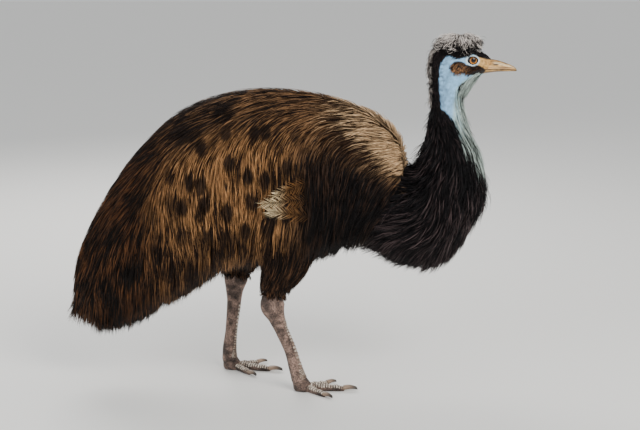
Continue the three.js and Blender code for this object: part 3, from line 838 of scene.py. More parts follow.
def padPlace(leg):
    x, y = leg["ball"]
    last = leg["stations"][-1]
    centre = (last[0] + x) / 2
    line = SmoothLine([
        (last[0] - 4, last[1], 78, 12, 10),
        (last[0] - 2, last[1], 60, 20, 18),
        (last[0] + 1, y, 42, 28.5, 27),
        (centre, y, 25, 32, 28),
        (x - 6, y, 12, 34, 30),
        (x - 4, y, 3, 33, 28),
        (x - 2, y, 0, 28, 23),
    ])

    def place(share, turn):
        at = line.at(share)
        ahead, aside = at[:, 0] - at[:, 3] * np.sin(turn), at[:, 1] + at[:, 4] * np.cos(turn)
        return np.stack([ahead, aside, np.maximum(at[:, 2], 0)], -1) / 1000

    return place


def heading(leg, kind):
    angle = math.radians(leg["yaw"] + leg["side"] * kind["angle"])
    return np.array([math.cos(angle), math.sin(angle), 0])


toeStart = 6  # mm ahead of the ball of the foot


def toePlace(leg, kind):
    ahead = heading(leg, kind)
    left = np.array([-ahead[1], ahead[0], 0])
    ball = np.array([*leg["ball"], 0])

    def place(share, turn, raised=0):
        far = mix(toeStart, kind["reach"] + 1, share)
        part = far / kind["reach"]
        knuckles = 0.05 * np.sin(part * (3.2 if kind["reach"] < 120 else 4.2) * 2 * np.pi - 1.2)
        wide = kind["half"] * (1.04 - 0.3 * part**2 + 0.6 * knuckles) + raised
        tall = kind["high"] * (1.12 - 0.5 * part + knuckles) + raised
        close = np.sqrt(np.clip(1 - np.maximum(share - 0.93, 0) ** 2 / 0.0052, 0.05, 1))
        across = wide * np.cos(turn) * close
        height = tall * (0.47 + 0.53 * np.sin(turn)) * mix(1, close, 0.5)
        points = ball + ahead * far[:, None] + left * across[:, None]
        points[:, 2] = np.maximum(height, 0)
        return points / 1000

    return place


def unite(name, meshes):  # one closed surface from closed ones that cross
    folder = bpy.data.collections.new("parts to join")
    first = bpy.data.objects.new("first", meshes[0])
    bpy.context.scene.collection.objects.link(first)
    others = []
    for mesh in meshes[1:]:
        other = bpy.data.objects.new("part", mesh)
        folder.objects.link(other)
        others.append(other)
    bpy.context.scene.collection.children.link(folder)
    join = first.modifiers.new("join", "BOOLEAN")
    join.operation = "UNION"
    join.operand_type = "COLLECTION"
    join.collection = folder
    join.solver = "MANIFOLD"
    depsgraph = bpy.context.evaluated_depsgraph_get()
    whole = bpy.data.meshes.new_from_object(first.evaluated_get(depsgraph))
    whole.name = name
    whole.materials.clear()
    for done in [first, *others]:
        bpy.data.objects.remove(done)
    bpy.data.collections.remove(folder)
    return whole


def makeSkin():
    rows = sum(skinDetail[part] for part in ("body", "neck", "head"))
    meshes = [wrapped("trunk", rows, skinDetail["sides"], trunkPoints)]
    setPoints(meshes[0], sculptHead(pointsOf(meshes[0])))
    for side, leg in legs.items():
        shape = hides[side].shape

        def legPlace(share, turn, shape=shape):
            return shape(share, turn, -skinDetail["under"] * (1 - smooth(share, 0.38, 0.44)))

        meshes.append(wrapped("leg", *skinDetail["leg"], legPlace))
        meshes.append(wrapped("pad", *skinDetail["pad"], padPlace(leg)))
        for kind in toes.values():
            meshes.append(wrapped("toe", *skinDetail["toe"], toePlace(leg, kind)))
    mesh = unite("skin", meshes)
    bm = bmesh.new()
    bm.from_mesh(mesh)
    balls = [Vector(leg["ball"]) / 1000 for leg in legs.values()]
    low = [vert for vert in bm.verts if 0.0015 < vert.co.z < 0.08]
    near = [vert for vert in low if min((vert.co.xy - ball).length for ball in balls) < 0.07]
    for _ in range(7):  # soften where pad, toes and shank run together
        bmesh.ops.smooth_vert(bm, verts=near, factor=0.5, use_axis_x=True, use_axis_y=True, use_axis_z=True)
    scaled = isScaled(np.array([face.calc_center_median() for face in bm.faces]))
    for face, number in zip(bm.faces, scaled):
        face.smooth = True
        face.material_index = int(number)
    bm.to_mesh(mesh)
    bm.free()
    points = pointsOf(mesh)
    setTint(mesh, skinTone(points))
    setSpots(mesh, spotPlace(points, 0))
    fleshy = ["torso", "tail", "neck_lower", "neck_middle", "neck_upper", "head"]
    parts = ["thigh", "shank", "foot"] + [f"toe_{kind}" for kind in toes]
    fleshy += [f"{part}_{side}" for side in legs for part in parts]
    addPiece("skin", mesh, [materials["skin"], materials["scales"]], fleshy)
    print("skin made:", len(mesh.vertices), "points")


makeSkin()


# the coat: tapered strands of solid mesh that follow the lie of the plumage

coats = {
    "body": {
        "count": 52000, "length": 146, "vary": 0.22, "width": 3.9, "thick": 1.5, "lift": 17, "sink": 3,
        "shares": (0, 0.28, 0.62, 1), "clump": 22, "gather": 0.55, "stray": 0.10, "sway": 0.20,
        "spotted": True, "shade": (0.45, 1.05),
    },
    "breast": {
        "count": 6400, "length": 92, "vary": 0.25, "width": 4.2, "thick": 1.5, "lift": 20, "sink": 3,
        "shares": (0, 0.25, 0.6, 1), "clump": 14, "gather": 0.45, "stray": 0.16, "sway": 0.22,
        "bristle": (0.14, 2.2),
    },
    "neck": {
        "count": 4600, "length": 58, "vary": 0.28, "width": 3.4, "thick": 1.2, "lift": 12, "sink": 2,
        "shares": (0, 0.3, 0.65, 1), "clump": 9, "gather": 0.4, "stray": 0.2, "sway": 0.25,
        "bristle": (0.14, 2.2),
    },
    "thigh": {
        "count": 3600, "length": 84, "vary": 0.25, "width": 3.6, "thick": 1.4, "lift": 13, "sink": 3,
        "shares": (0, 0.2, 0.45, 0.72, 1), "clump": 16, "gather": 0.5, "stray": 0.12, "sway": 0.2,
        "loose": True, "under": -0.9,
    },
    "nape": {
        "counts": (260, 860), "length": 31, "vary": 0.35, "width": 1.9, "thick": 0.8, "lift": 13, "sink": 1.5,
        "shares": (0, 0.25, 0.5, 0.75, 1), "clump": 9, "gather": 0.5, "stray": 0.5, "sway": 0.5,
        "curl": (6.0, 4.8), "shade": (0.15, 1.1), "bristle": (0.2, 1.6),
    },
    "neckUpper": {
        "count": 1700, "length": 24, "vary": 0.3, "width": 2.4, "thick": 0.9, "lift": 3.5, "sink": 1.2,
        "shares": (0, 0.35, 0.7, 1), "clump": 7, "gather": 0.3, "stray": 0.25, "sway": 0.25,
        "bristle": (0.2, 2.6),
    },
    "throat": {
        "counts": (1500, 1500), "length": 78, "vary": 0.35, "width": 1.4, "thick": 0.6, "lifts": (12, 18),
        "sink": 1.2,
        "shares": (0, 0.2, 0.4, 0.6, 0.8, 1), "clump": 6, "gather": 0.6, "stray": 0.08, "sway": 0.08,
        "shade": (0.85, 1.0), "locks": 0.6, "bristle": (0.12, 1.6),
    },
    "crown": {
        "count": 2200, "length": 15, "vary": 0.3, "width": 1.7, "thick": 0.7, "lift": 2.4, "sink": 1,
        "shares": (0, 0.4, 1), "clump": 5, "gather": 0.2, "stray": 0.25, "sway": 0.2,
    },
    "crest": {
        "count": 2600, "length": 40, "vary": 0.35, "width": 2.0, "thick": 0.9, "lift": 15, "sink": 6,
        "shares": (0, 0.2, 0.4, 0.6, 0.8, 1), "clump": 7, "gather": 0.5, "stray": 0.7, "sway": 0.9,
        "curl": (7.0, 4.6), "shade": (0.2, 1.15), "bristle": (0.12, 1.7),
    },
    "ear": {
        "count": 1300, "length": 11, "vary": 0.25, "width": 1.6, "thick": 0.6, "lift": 2.2, "sink": 0.8,
        "shares": (0, 0.4, 1), "clump": 5, "gather": 0.3, "stray": 0.2, "sway": 0.15,
    },
    "wing": {
        "barbs": 54, "length": 40, "lean": 54, "width": 2.0, "thick": 1.1, "shares": (0, 0.3, 0.65, 1),
        "shade": (0.55, 1.05), "free": True,
    },
}


def spreadRoots(hide, spec, span, keep):
    tries = int(spec["count"] * 8)
    along = mix(span[0], span[1], rng.random(tries))
    turn = 2 * np.pi * rng.random(tries)
    spot = hide.frame(along, turn)
    area = np.linalg.norm(np.cross(spot["forward"], spot["around"]), axis=-1)
    weight = area * keep(spot)
    order = rng.random(tries) ** (1 / np.maximum(weight / weight.max(), 1e-9))
    chosen = np.argsort(-order)[: spec["count"]]
    chosen = chosen[weight[chosen] > 1e-9]
    return along[chosen], turn[chosen], {key: value[chosen] for key, value in spot.items()}


def clumpsOf(points, wide):  # each root's clump, and how far it stands from the clump's middle
    seeds = points[rng.permutation(len(points))[: max(int(len(points) / wide), 2)]]
    tree = kdtree.KDTree(len(seeds))
    for i, seed in enumerate(seeds):
        tree.insert(seed, i)
    tree.balance()
    number = np.array([tree.find(point)[1] for point in points])
    return number, points - seeds[number]


def hemAt(x, side):
    places, heights = np.transpose(hem)
    return np.interp(x * 1000, places, heights) + 200 * np.abs(side)


def walk(hide, along, turn, length, twist, lift, lie, spec):
    shares = spec["shares"]
    middles, ways, sides = [], [], []
    hangs = np.zeros(len(along), bool)
    pull = np.zeros((len(along), 3))
    for i, share in enumerate(shares):
        spot = hide.frame(along, turn)
        normal = spot["normal"]
        wanted = lie(spot)
        wanted = wanted * np.cos(twist)[:, None] + np.cross(normal, wanted) * np.sin(twist)[:, None]
        flat = unit(wanted - normal * np.sum(wanted * normal, -1, keepdims=True))
        rise = (lift * (1 - (1 - share) ** 1.7) - spec["sink"] * (1 - share) ** 2) / 1000
        lifted = spot["at"] + normal * rise[:, None]
        if i == 0:
            middle, way, side = lifted, flat, unit(np.cross(flat, normal))
        else:
            loose = hangs[:, None]
            way = np.where(loose, unit(way + pull), flat)
            middle = np.where(loose, ahead, lifted)
            side = np.where(loose, side, unit(np.cross(flat, normal)))
        middles.append(middle)
        ways.append(way)
        sides.append(side)
        if i == len(shares) - 1:
            break
        step = ((shares[i + 1] - share) * length / 1000)[:, None]
        ahead = middle + way * step
        newAlong, newTurn = hide.moved(along, turn, spot, way * step)
        reached = hide.frame(newAlong, newTurn)
        short = np.linalg.norm(reached["at"] - spot["at"], axis=-1) < 0.7 * step[:, 0]
        under = reached["normal"][:, 2] < spec.get("under", -0.3)
        pull = np.where(under[:, None], np.array([-0.05, 0, -0.4]), np.array([0, 0, -0.12]))
        stays = hangs | short | under
        along, turn = np.where(stays, along, newAlong), np.where(stays, turn, newTurn)
        hangs = stays
    return np.stack(middles, 1), np.stack(ways, 1), np.stack(sides, 1)


def growStrands(hide, spec, span, lie, keep, lengthAt=None):
    along, turn, spot = spreadRoots(hide, spec, span, keep)
    roots = spot["at"]
    total = len(along)
    strand = rng.random(total)
    number, away = clumpsOf(roots, spec["clump"])
    clump = rng.random(number.max() + 1)[number]
    reach = rng.random(number.max() + 1)[number]
    length = spec["length"] * (1 + spec["vary"] * (2 * rng.random(total) - 1)) * (0.86 + 0.28 * reach)
    if lengthAt is not None:
        length = length * lengthAt(spot)
    twist = spec["stray"] * (2 * rng.random(total) - 1) + spec["sway"] * (2 * noise(roots, 150, 5) - 1)
    twist = twist + 0.5 * spec["sway"] * (2 * clump - 1)
    lift = spec["lift"] * (0.25 + 0.85 * mix(rng.random(total), clump, spec.get("locks", 0)))
    bristles, factor = spec.get("bristle", (0, 1))
    lift = np.where(rng.random(total) < bristles, factor, 1) * lift
    middles, ways, sides = walk(hide, along, turn, length, twist, lift, lie, spec)
    for _ in range(0 if "loose" in spec else 10):  # trim what reaches below the hem
        tips = middles[:, -1]
        floorAt = hemAt(tips[:, 0], tips[:, 1]) - 26 + 36 * reach + 12 * strand
        low = np.flatnonzero(tips[:, 2] * 1000 < floorAt)
        if not len(low):
            break
        length[low] *= 0.86
        again = walk(hide, along[low], turn[low], length[low], twist[low], lift[low], lie, spec)
        middles[low], ways[low], sides[low] = again
    shares = np.array(spec["shares"])
    away = away - spot["normal"] * np.sum(away * spot["normal"], -1, keepdims=True)
    middles = middles - away[:, None] * (spec["gather"] * shares**1.4)[None, :, None]
    if "curl" in spec:
        radius, swing = spec["curl"]
        angle = swing * shares[None] * (0.6 + 0.8 * mix(rng.random(total), reach, 0.75))[:, None]
        hand = np.where(clump < 0.5, -1, 1)[:, None]
        up = np.cross(sides, ways)
        across, rise = hand * (1 - np.cos(angle)), 0.8 * np.sin(angle)
        middles = middles + radius / 1000 * (across[..., None] * sides + rise[..., None] * up)
    grown = {"middles": middles, "sides": sides, "strand": strand, "clump": clump, "shares": shares}
    grown["unwrap"] = hide.unwrapped(along, turn)
    return grown


def joined(grown):
    keys = ("middles", "sides", "strand", "clump", "unwrap")
    whole = {key: np.concatenate([g[key] for g in grown]) for key in keys}
    whole["shares"] = grown[0]["shares"]
    return whole


widest = 232  # what lies further out than this from the middle is pressed flat
patchSize = 0.003  # of a strand on the unwrap


def strandMesh(name, grown, spec, tone):  # blades of three edges, each closed and drawn out to a point
    middles, shares = grown["middles"], grown["shares"]
    total, rings = middles.shape[0], middles.shape[1]
    ways = unit(np.gradient(middles, axis=1))
    sides = unit(grown["sides"] - ways * np.sum(grown["sides"] * ways, -1, keepdims=True))
    ups = np.cross(sides, ways)
    swell = np.minimum(1, 0.55 + 2.2 * shares) * (1 - 0.72 * shares**1.6)
    half = spec["width"] / 2000 * swell[None, :, None] * (0.7 + 0.6 * grown["strand"])[:, None, None]
    thick = spec["thick"] / 1000 * swell[None, :, None]
    left, right, ridge = middles - sides * half, middles + sides * half, middles + ups * thick
    body = np.stack([left, right, ridge], 2)[:, :-1].reshape(total, -1, 3)
    points = np.concatenate([body, middles[:, -1:]], 1)
    over = np.maximum(np.abs(points[..., 1]) - widest / 1000, 0) * (0.2 if "free" in spec else 0.85)
    points[..., 1] -= np.sign(points[..., 1]) * over
    each = points.shape[1]
    faces = [(0, 2, 1)]
    for ring in range(rings - 2):
        for k in range(3):
            a, b = ring * 3 + k, ring * 3 + (k + 1) % 3
            faces += [(a, b, b + 3), (a, b + 3, a + 3)]
    for k in range(3):
        faces.append(((rings - 2) * 3 + k, (rings - 2) * 3 + (k + 1) % 3, each - 1))
    faces = np.array(faces)
    corners = points[0][faces] - points[0].mean(0)
    inside = np.sum(corners[:, 0] * np.cross(corners[:, 1], corners[:, 2]))
    if inside < 0:
        faces = faces[:, ::-1]
    loops = (faces[None] + each * np.arange(total)[:, None, None]).reshape(-1)
    mesh = bpy.data.meshes.new(name)
    mesh.vertices.add(total * each)
    mesh.vertices.foreach_set("co", points.ravel())
    mesh.loops.add(len(loops))
    mesh.loops.foreach_set("vertex_index", loops)
    mesh.polygons.add(len(loops) // 3)
    mesh.polygons.foreach_set("loop_start", np.arange(0, len(loops), 3))
    mesh.update(calc_edges=True)
    mesh.shade_smooth()
    shareOf = np.append(np.repeat(shares[:-1], 3), 1.0)
    strand, clump = (np.repeat(grown[key][:, None], each, 1) for key in ("strand", "clump"))
    colours = tone(points, strand, clump)
    # painted shade: each strand is darker towards its root, deep in the coat, and a little lighter at its tip
    # as painted light; on the crest and nape curls the dark base is also the feathers' own colour
    root, tip = spec.get("shade", (0.5, 1.05))
    depth = mix(root, tip, smooth(shareOf, 0.0, 0.7))
    setTint(mesh, (colours * depth[None, :, None]).reshape(-1, 3))
    if "spotted" in spec:
        setSpots(mesh, spotPlace(points, 2 * strand - 1))
    across = np.append(np.tile([0, patchSize, patchSize / 2], rings - 1), patchSize / 2)
    spots = grown["unwrap"][:, None] + np.stack([across, patchSize * shareOf], -1)[None]
    layer = mesh.uv_layers.new(name="OFBake")
    layer.data.foreach_set("uv", spots.reshape(-1, 2)[loops].ravel())
    return mesh


def addCoat(name, grown, spec, tone, material, replaced=(), most=190000):
    each = 6 * (len(grown["shares"]) - 2) + 4
    parts = math.ceil(len(grown["strand"]) * each / most)
    order = np.argsort(grown["middles"][:, 0, 0])
    for i, chosen in enumerate(np.array_split(order, parts)):
        part = {key: value if key == "shares" else value[chosen] for key, value in grown.items()}
        full = name if parts == 1 else f"{name}{i + 1}"
        addPiece(full, strandMesh(full, part, spec, tone), material, replaced if i == 0 else ())
    print(name, "strands:", len(grown["strand"]), "triangles:", len(grown["strand"]) * each)


def bodyLie(spot):  # from the parting backwards over the back, then down the flanks and the tail
    at, normal = spot["at"], spot["normal"]
    x, _, depth = besideBack(at)
    slope = mix(24, 86, smooth(depth, 0, 270))
    mantle = smooth(x, 60, 330)
    slope = mix(slope, mix(3, 58, smooth(depth, 50, 330)), mantle)
    rump = smooth(-x, 330, 600)
    slope = np.radians(mix(slope, mix(54, 86, smooth(depth, 40, 420)), rump))
    top = smooth(normal[:, 2], 0.55, 0.98)
    off = at[:, 1] - partingAt(x)
    parting = np.sign(off) * smooth(np.abs(off), 0, 0.03)
    front = smooth(x, 150, 330) * (1 - np.abs(normal[:, 1]))
    spread = mix(0.5 * top * parting, 1.3 * parting, front)
    return np.stack([-np.cos(slope), spread, -np.sin(slope) * (1 - 0.6 * top)], -1)


def towardsRoot(spot):  # down the neck, and hanging where it widens into the breast
    hang = smooth(-spot["at"][:, 2], -0.86, -0.66)[:, None]
    return unit(unit(-spot["forward"]) + hang * np.array([-0.15, 0, -0.8]))


def towardsEnd(spot):
    return unit(spot["forward"])


def everywhere(spot):
    return np.ones(len(spot["at"]))


def makePlumage():
    spec = coats["body"]
    wingX, wingZ = wingShape["centre"]

    def besideWing(spot):  # sparser where strands would bury the little wings
        x, y, z = (spot["at"][:, i] * 1000 for i in range(3))
        above, below = np.maximum(z - wingZ - 70, 0) / 70, np.maximum(wingZ - z, 0) / 50
        near = np.hypot((x - wingX) / 84, above + below)
        return 1 - 0.9 * (1 - smooth(near, 0.7, 1.1)) * (np.abs(y) > 150)

    def shortened(spot):  # towards the neck, and well above the hem
        room = spot["at"][:, 2] * 1000 - hemAt(spot["at"][:, 0], spot["at"][:, 1])
        return (1 - 0.3 * smooth(spot["at"][:, 0], 0.1, 0.38)) * (1 - 0.22 * smooth(room, 130, 240))

    body = growStrands(hides["body"], spec, (0.004, 0.995), bodyLie, besideWing, shortened)
    addCoat("plumage", body, spec, bodyTone, materials["plumage"])
    spec = coats["breast"]
    low = growStrands(hides["neck"], spec, (0.0, 0.56), towardsRoot, everywhere)
    addCoat("breast", low, spec, neckTone, materials["darkPlumage"])
    spec = coats["neck"]

    def onNeck(spot):
        return headMasks(spot["at"])[1] * smooth(spot["at"][:, 2], 0.62, 0.70)

    middle = growStrands(hides["neck"], spec, (0.36, 0.86), towardsRoot, onNeck,
                         lambda spot: 1 - 0.35 * smooth(spot["at"][:, 2], 0.84, 0.96))
    addCoat("neckPlumage", middle, spec, neckTone, materials["darkPlumage"])
    spec = coats["thigh"]

    def aboveHock(spot):
        return mix(0.2, 1, smooth(spot["at"][:, 2], 0.35, 0.48))

    thighs = [growStrands(hides[side], spec, (0.03, leg["hock"]), towardsEnd, everywhere, aboveHock)
              for side, leg in legs.items()]
    thighTone = plainTone(linear(14, 8, 6), linear(92, 63, 42), 0.26)
    addCoat("thighPlumage", joined(thighs), spec, thighTone, materials["plumage"])


makePlumage()


# the head's and neck's finer coats

def paleTipped(points, strand, clump):  # black inside, greyer further out
    rise = smooth(points[..., 2], 1.176, 1.222)
    lit = smooth(0.66 * strand + 0.34 * clump + 0.44 * rise, 0.72, 0.88)
    return mix(linear(14, 10, 12), linear(232, 222, 214), lit[..., None])


def headCoats():
    black = plainTone(linear(9, 7, 10), linear(48, 38, 38), 0.3)
    head, neck = hides["head"], hides["neck"]

    def onNape(spot):
        x, z = spot["at"][:, 0] * 1000, spot["at"][:, 2] * 1000
        stripe = smooth(edgeAt("nape", z) - x, 0, 5)
        return stripe * smooth(z, 925, 950)

    spec = coats["neckUpper"]
    stripe = [growStrands(neck, spec, (0.55, 0.999), towardsRoot, onNape),
              growStrands(head, spec, (0.001, 0.45), towardsRoot, onNape)]
    addCoat("napeStripe", joined(stripe), spec, black, materials["darkPlumage"])

    def onRear(spot):
        ahead, up = spot["normal"][:, 0], spot["normal"][:, 2]
        behind = smooth(np.maximum(-ahead, 0.75 * up - 0.66 * ahead), 0.8, 0.98)
        return onNape(spot) * behind * smooth(spot["at"][:, 2], 1.0, 1.08)

    def backwards(spot):
        return unit(np.array([-0.9, 0, -0.3]) + 0 * spot["forward"])

    spec = coats["nape"]
    parts = zip((neck, head), spec["counts"], ((0.7, 0.999), (0.001, 0.6)))
    curls = [growStrands(hide, dict(spec, count=count), span, backwards, onRear)
             for hide, count, span in parts]
    greyTips = plainTone(linear(14, 10, 12), linear(206, 196, 188), 0.42, 0.16)
    addCoat("napeCurls", joined(curls), spec, greyTips, materials["darkPlumage"])

    def onCrown(spot):
        x, z = spot["at"][:, 0] * 1000, spot["at"][:, 2] * 1000
        over = smooth(z - edgeAt("cap", x), 0, 4)
        return over * smooth(x, 500, 520)

    spec = coats["crown"]
    crown = growStrands(head, spec, (0.05, 0.995), towardsRoot, onCrown)
    addCoat("crown", crown, spec, black, materials["darkPlumage"])

    def onCrest(spot):
        x, z = spot["at"][:, 0] * 1000, spot["at"][:, 2] * 1000
        return smooth(z - 1160 - 34 * smooth(x, 600, 645), 0, 22)

    def crestLie(spot):  # out from the parting to both sides, back behind and forward over the brow
        x, y = spot["at"][:, 0] * 1000 - crestShape["centre"][0], spot["at"][:, 1] * 1000
        return unit(np.stack([x / 60 - 0.1, 0.9 * y / 40, -0.25 * np.abs(y) / 40], -1) + 1e-3)

    spec = coats["crest"]
    crest = growStrands(hides["crest"], spec, (0.02, 0.98), crestLie, onCrest,
                        lambda spot: 1 - 0.35 * smooth(spot["at"][:, 0], 0.61, 0.65))
    addCoat("crest", crest, spec, paleTipped, materials["darkPlumage"])

    def onEar(spot):
        mask, ring = headMasks(spot["at"])[3:]
        x, side = spot["at"][:, 0], np.abs(spot["at"][:, 1])
        return mask * smooth(ring, 1.0, 1.2) * (side > 0.02) * (x < 0.66)

    def earTone(points, strand, clump):
        x, z = points[..., 0] * 1000, points[..., 2] * 1000
        rear = smooth(-x, -622, -580) * smooth(-z, -1140, -1118)
        dark = linear(24, 14, 10)
        pale = mix(linear(84, 54, 34), linear(196, 142, 96), rear[..., None])
        lit = smooth(0.8 * strand + 0.2 * clump + 0.16 * rear, 0.42, 0.8)
        return dark + (pale - dark) * lit[..., None]

    spec = coats["ear"]
    ear = growStrands(head, spec, (0.1, 0.99), towardsRoot, onEar)
    addCoat("earCoverts", ear, spec, earTone, materials["darkPlumage"])

    def onThroat(spot):
        ahead = spot["at"][:, 0]
        dense = 0.25 + 0.75 * smooth(ahead, 0.575, 0.61) + 2 * smooth(ahead, 0.64, 0.67)
        return headMasks(spot["at"])[2] * dense

    def throatTone(points, strand, clump):  # long streaks, by where the roots lie across the throat
        dark, pale = linear(12, 14, 16), linear(222, 238, 230)
        x, y, z = (points[:, :1, i] for i in range(3))
        streak = noise(np.stack([x - edgeAt("throat", z * 1000) / 1000, y, 0.06 * z], -1), 3.6, 8)
        chin = smooth(x, 0.62, 0.66)
        lit = smooth(streak + 0.14 * (strand - 0.5) - 0.05 * chin, 0.46, 0.53)
        return mix(dark, pale, lit[..., None])

    spec = coats["throat"]
    pairs = zip(spec["counts"], spec["lifts"])
    neckSpec, headSpec = (dict(spec, count=count, lift=lift) for count, lift in pairs)
    throat = [growStrands(neck, neckSpec, (0.5, 0.999), towardsRoot, onThroat),
              growStrands(head, headSpec, (0.001, 0.97), towardsRoot, onThroat)]
    addCoat("throatHair", joined(throat), spec, throatTone, materials["plumage"])


headCoats()


def wingTone(points, strand, clump):  # dark in front, cream at the tip, with every other barb brown: these darker barbs, laid under the pale ones, give the stripes and stand in as painted shade behind the wing
    x = points[..., 0] * 1000
    dark = mix(linear(14, 9, 7), linear(72, 46, 28), smooth(-x, -20, 80)[..., None])
    ochre = mix(linear(46, 28, 16), linear(150, 104, 58), smooth(-x, -90, 0)[..., None])
    pale = mix(ochre, linear(246, 222, 176), smooth(-x, -6, 50)[..., None])
    return mix(dark, pale, clump[..., None])


def makeWings():  # three feathers a side, with barbs swept back from both edges of each shaft
    spec = coats["wing"]
    shares = np.array(spec["shares"])
    barbs = spec["barbs"]
    for side, leg in legs.items():
        middles = []
        for number, (root, tip) in enumerate(wingShape["feathers"]):
            root, run = np.array(root), np.array(tip, float) - root
            along = np.repeat(np.linspace(0.1, 1, barbs), 2)
            hand = np.tile([-1.0, 1.0], barbs)
            # every other barb: the darker ones lie 1.5 mm further in, under the pale ones, as painted shade
            # behind the wing
            striped = (np.arange(2 * barbs) // 2 % 2)[:, None]
            lean = hand * np.radians(spec["lean"]) * (1 - 0.55 * along**3)
            lean = lean + 0.12 * rng.normal(size=2 * barbs)
            ahead = run / np.hypot(*run)
            way = np.stack([ahead[0] * np.cos(lean) - ahead[1] * np.sin(lean),
                            ahead[0] * np.sin(lean) + ahead[1] * np.cos(lean)], -1)
            length = spec["length"] * mix(0.8, 1.15, rng.random(2 * barbs)) * (1 - 0.35 * along**2)
            reach = (length[:, None] * shares)[..., None]
            flat = (root + run * along[:, None])[:, None] + way[:, None] * reach + 0.006 * ahead * reach**2
            low, high = wingShape["out"]
            out = mix(low, high, smooth(along, 0, 0.4))[:, None] + 3 * number + 1.5 * striped - 5 * shares**2
            middles.append(np.stack([flat[..., 0], leg["side"] * out, flat[..., 1]], -1) / 1000)
        middles = np.concatenate(middles)
        way = middles[:, -1] - middles[:, 0]
        sides = np.broadcast_to(unit(np.cross(way, [0, leg["side"], 0.0]))[:, None], middles.shape)
        strand = rng.random(len(middles))
        stripe = np.tile(striped[:, 0], len(wingShape["feathers"]))
        place = middles[:, 0, [0, 2]] * 1000 - np.array([-120, 600])
        grown = {"middles": middles, "sides": sides, "strand": strand, "clump": stripe, "shares": shares}
        grown["unwrap"] = np.array(wingShape["unwrap"][side]) + place / 1400
        name, node = side + "WingVanes", f"wing_{side}"
        addCoat(name, grown, spec, wingTone, materials["plumage"], [node])


makeWings()


# eyes and lids

def makeEyes():
    x, depth, z = eyeShape["centre"]
    radius = eyeShape["radius"] - 0.4
    for side, sign in (("right", -1), ("left", 1)):
        bm = bmesh.new()
        bmesh.ops.create_uvsphere(bm, u_segments=64, v_segments=40, radius=radius / 1000)
        axis = Vector((0.12, sign, 0.03)).normalized()
        away = []
        turn = Vector((0, 0, 1)).rotation_difference(axis)
        for vert in bm.verts:
            flat = math.hypot(vert.co.x, vert.co.y) * 1000 / radius
            out = flat if vert.co.z > 0 else 1
            away.append(out)
            vert.co *= 1 + 0.05 * max(1 - (out / 0.62) ** 2, 0)
            vert.co = turn @ vert.co + Vector((x, sign * depth, z)) / 1000
        for face in bm.faces:
            face.smooth = True
        mesh = bpy.data.meshes.new(side + "Eye")
        bm.to_mesh(mesh)
        bm.free()
        mesh.attributes.new("away", "FLOAT", "POINT").data.foreach_set("value", away)
        lit = smooth(z - pointsOf(mesh)[:, 2] * 1000, -9, 7)  # the lid's shadow over the top of the iris
        setTint(mesh, np.repeat(mix(0.35, 1.1, lit)[:, None], 3, 1))
        addPiece(side + "Eye", mesh, materials["eye"], [f"eye_{side}"])


lidShape = {"outer": (25, 19.5), "rise": 2.6}


def makeLids():
    x, depth, z = eyeShape["centre"]
    radius = eyeShape["radius"]
    for side, sign in (("right", -1), ("left", 1)):
        def place(share, turn, sign=sign):
            over = (1 - np.cos(2 * np.pi * share)) / 2
            out = np.sin(2 * np.pi * share)
            long = mix(eyeShape["opening"][0] - 1, lidShape["outer"][0], over) * np.cos(turn)
            tall = mix(eyeShape["opening"][1] - 0.6, lidShape["outer"][1], over) * np.sin(turn)
            tall = tall * (1 - 0.10 * np.cos(turn)) * (1 - 0.12 * (np.sin(turn) > 0)) - 0.03 * long
            top = radius + 0.5 + lidShape["rise"] * np.maximum(out, 0) - 0.8 * over
            swell = np.sqrt(np.maximum(top**2 - long**2 - tall**2, 9))
            return np.stack([x + long, sign * (depth + swell), z + tall], -1) / 1000

        mesh = wrapped(side + "Lids", 22, 72, place, closed=False)
        points = pointsOf(mesh) * 1000
        wide, high = eyeShape["opening"]
        far = np.hypot((points[:, 0] - x) / wide, (points[:, 2] - z) / high)
        # dark next to the eye: partly the lid's own dark margin, partly painted shade in the corner of the
        # socket
        pale = smooth(far, 1.04, 1.16)
        setTint(mesh, mix(linear(24, 16, 14), skinColours["eyeRing"], pale[:, None]))
        addPiece(side + "Lids", mesh, materials["skin"])


makeEyes()
makeLids()
print("eyes made")


# the bill

billDetail = {"nostril": (706, 1126), "groove": 6.5, "roof": 0.78, "ridge": 0.26}


def billPlace(upper):
    line = SmoothLine(billStations)

    def place(share, turn):
        at = line.at(share)
        x, crown, mouth, chin, half = (at[:, i] for i in range(5))
        across, rise = np.cos(turn), np.sin(turn)
        roof, keel = billDetail["roof"], billDetail["ridge"]
        ridge = roof * np.sqrt(np.maximum(1 - across**2, 0)) + keel * np.exp(-((across / 0.3) ** 2))
        if upper:
            arch = mouth - 0.2 + (crown - mouth) * ridge / (roof + keel)
            z = np.where(rise > 0, arch, mouth + 0.3 - 1.4 * np.abs(across) ** 6 * (rise < 0))
            y = half * across * (1 + 0.02 * (rise > 0))
        else:
            z = np.where(rise > 0, mouth - 0.4, mouth - (mouth - chin) * np.abs(rise) ** 0.8)
            y = 0.92 * half * across
        grooveAt = mouth + billDetail["groove"] * smooth(-x, -776, -740)
        fore = smooth(x, 664, 690) * (1 - smooth(x, 752, 768))
        pinch = 1.5 * np.exp(-(((z - grooveAt) / 2.0) ** 2)) * fore
        noseX, noseZ = billDetail["nostril"]
        slot = 3.4 * np.exp(-(((x - noseX) / 11) ** 2) - ((z - noseZ) / 3.2) ** 2)
        if upper:
            y = y - np.sign(across) * np.minimum((pinch + slot) * (rise > 0), np.abs(y) * 0.5)
        return np.stack([x, y, z], -1) / 1000

    return place


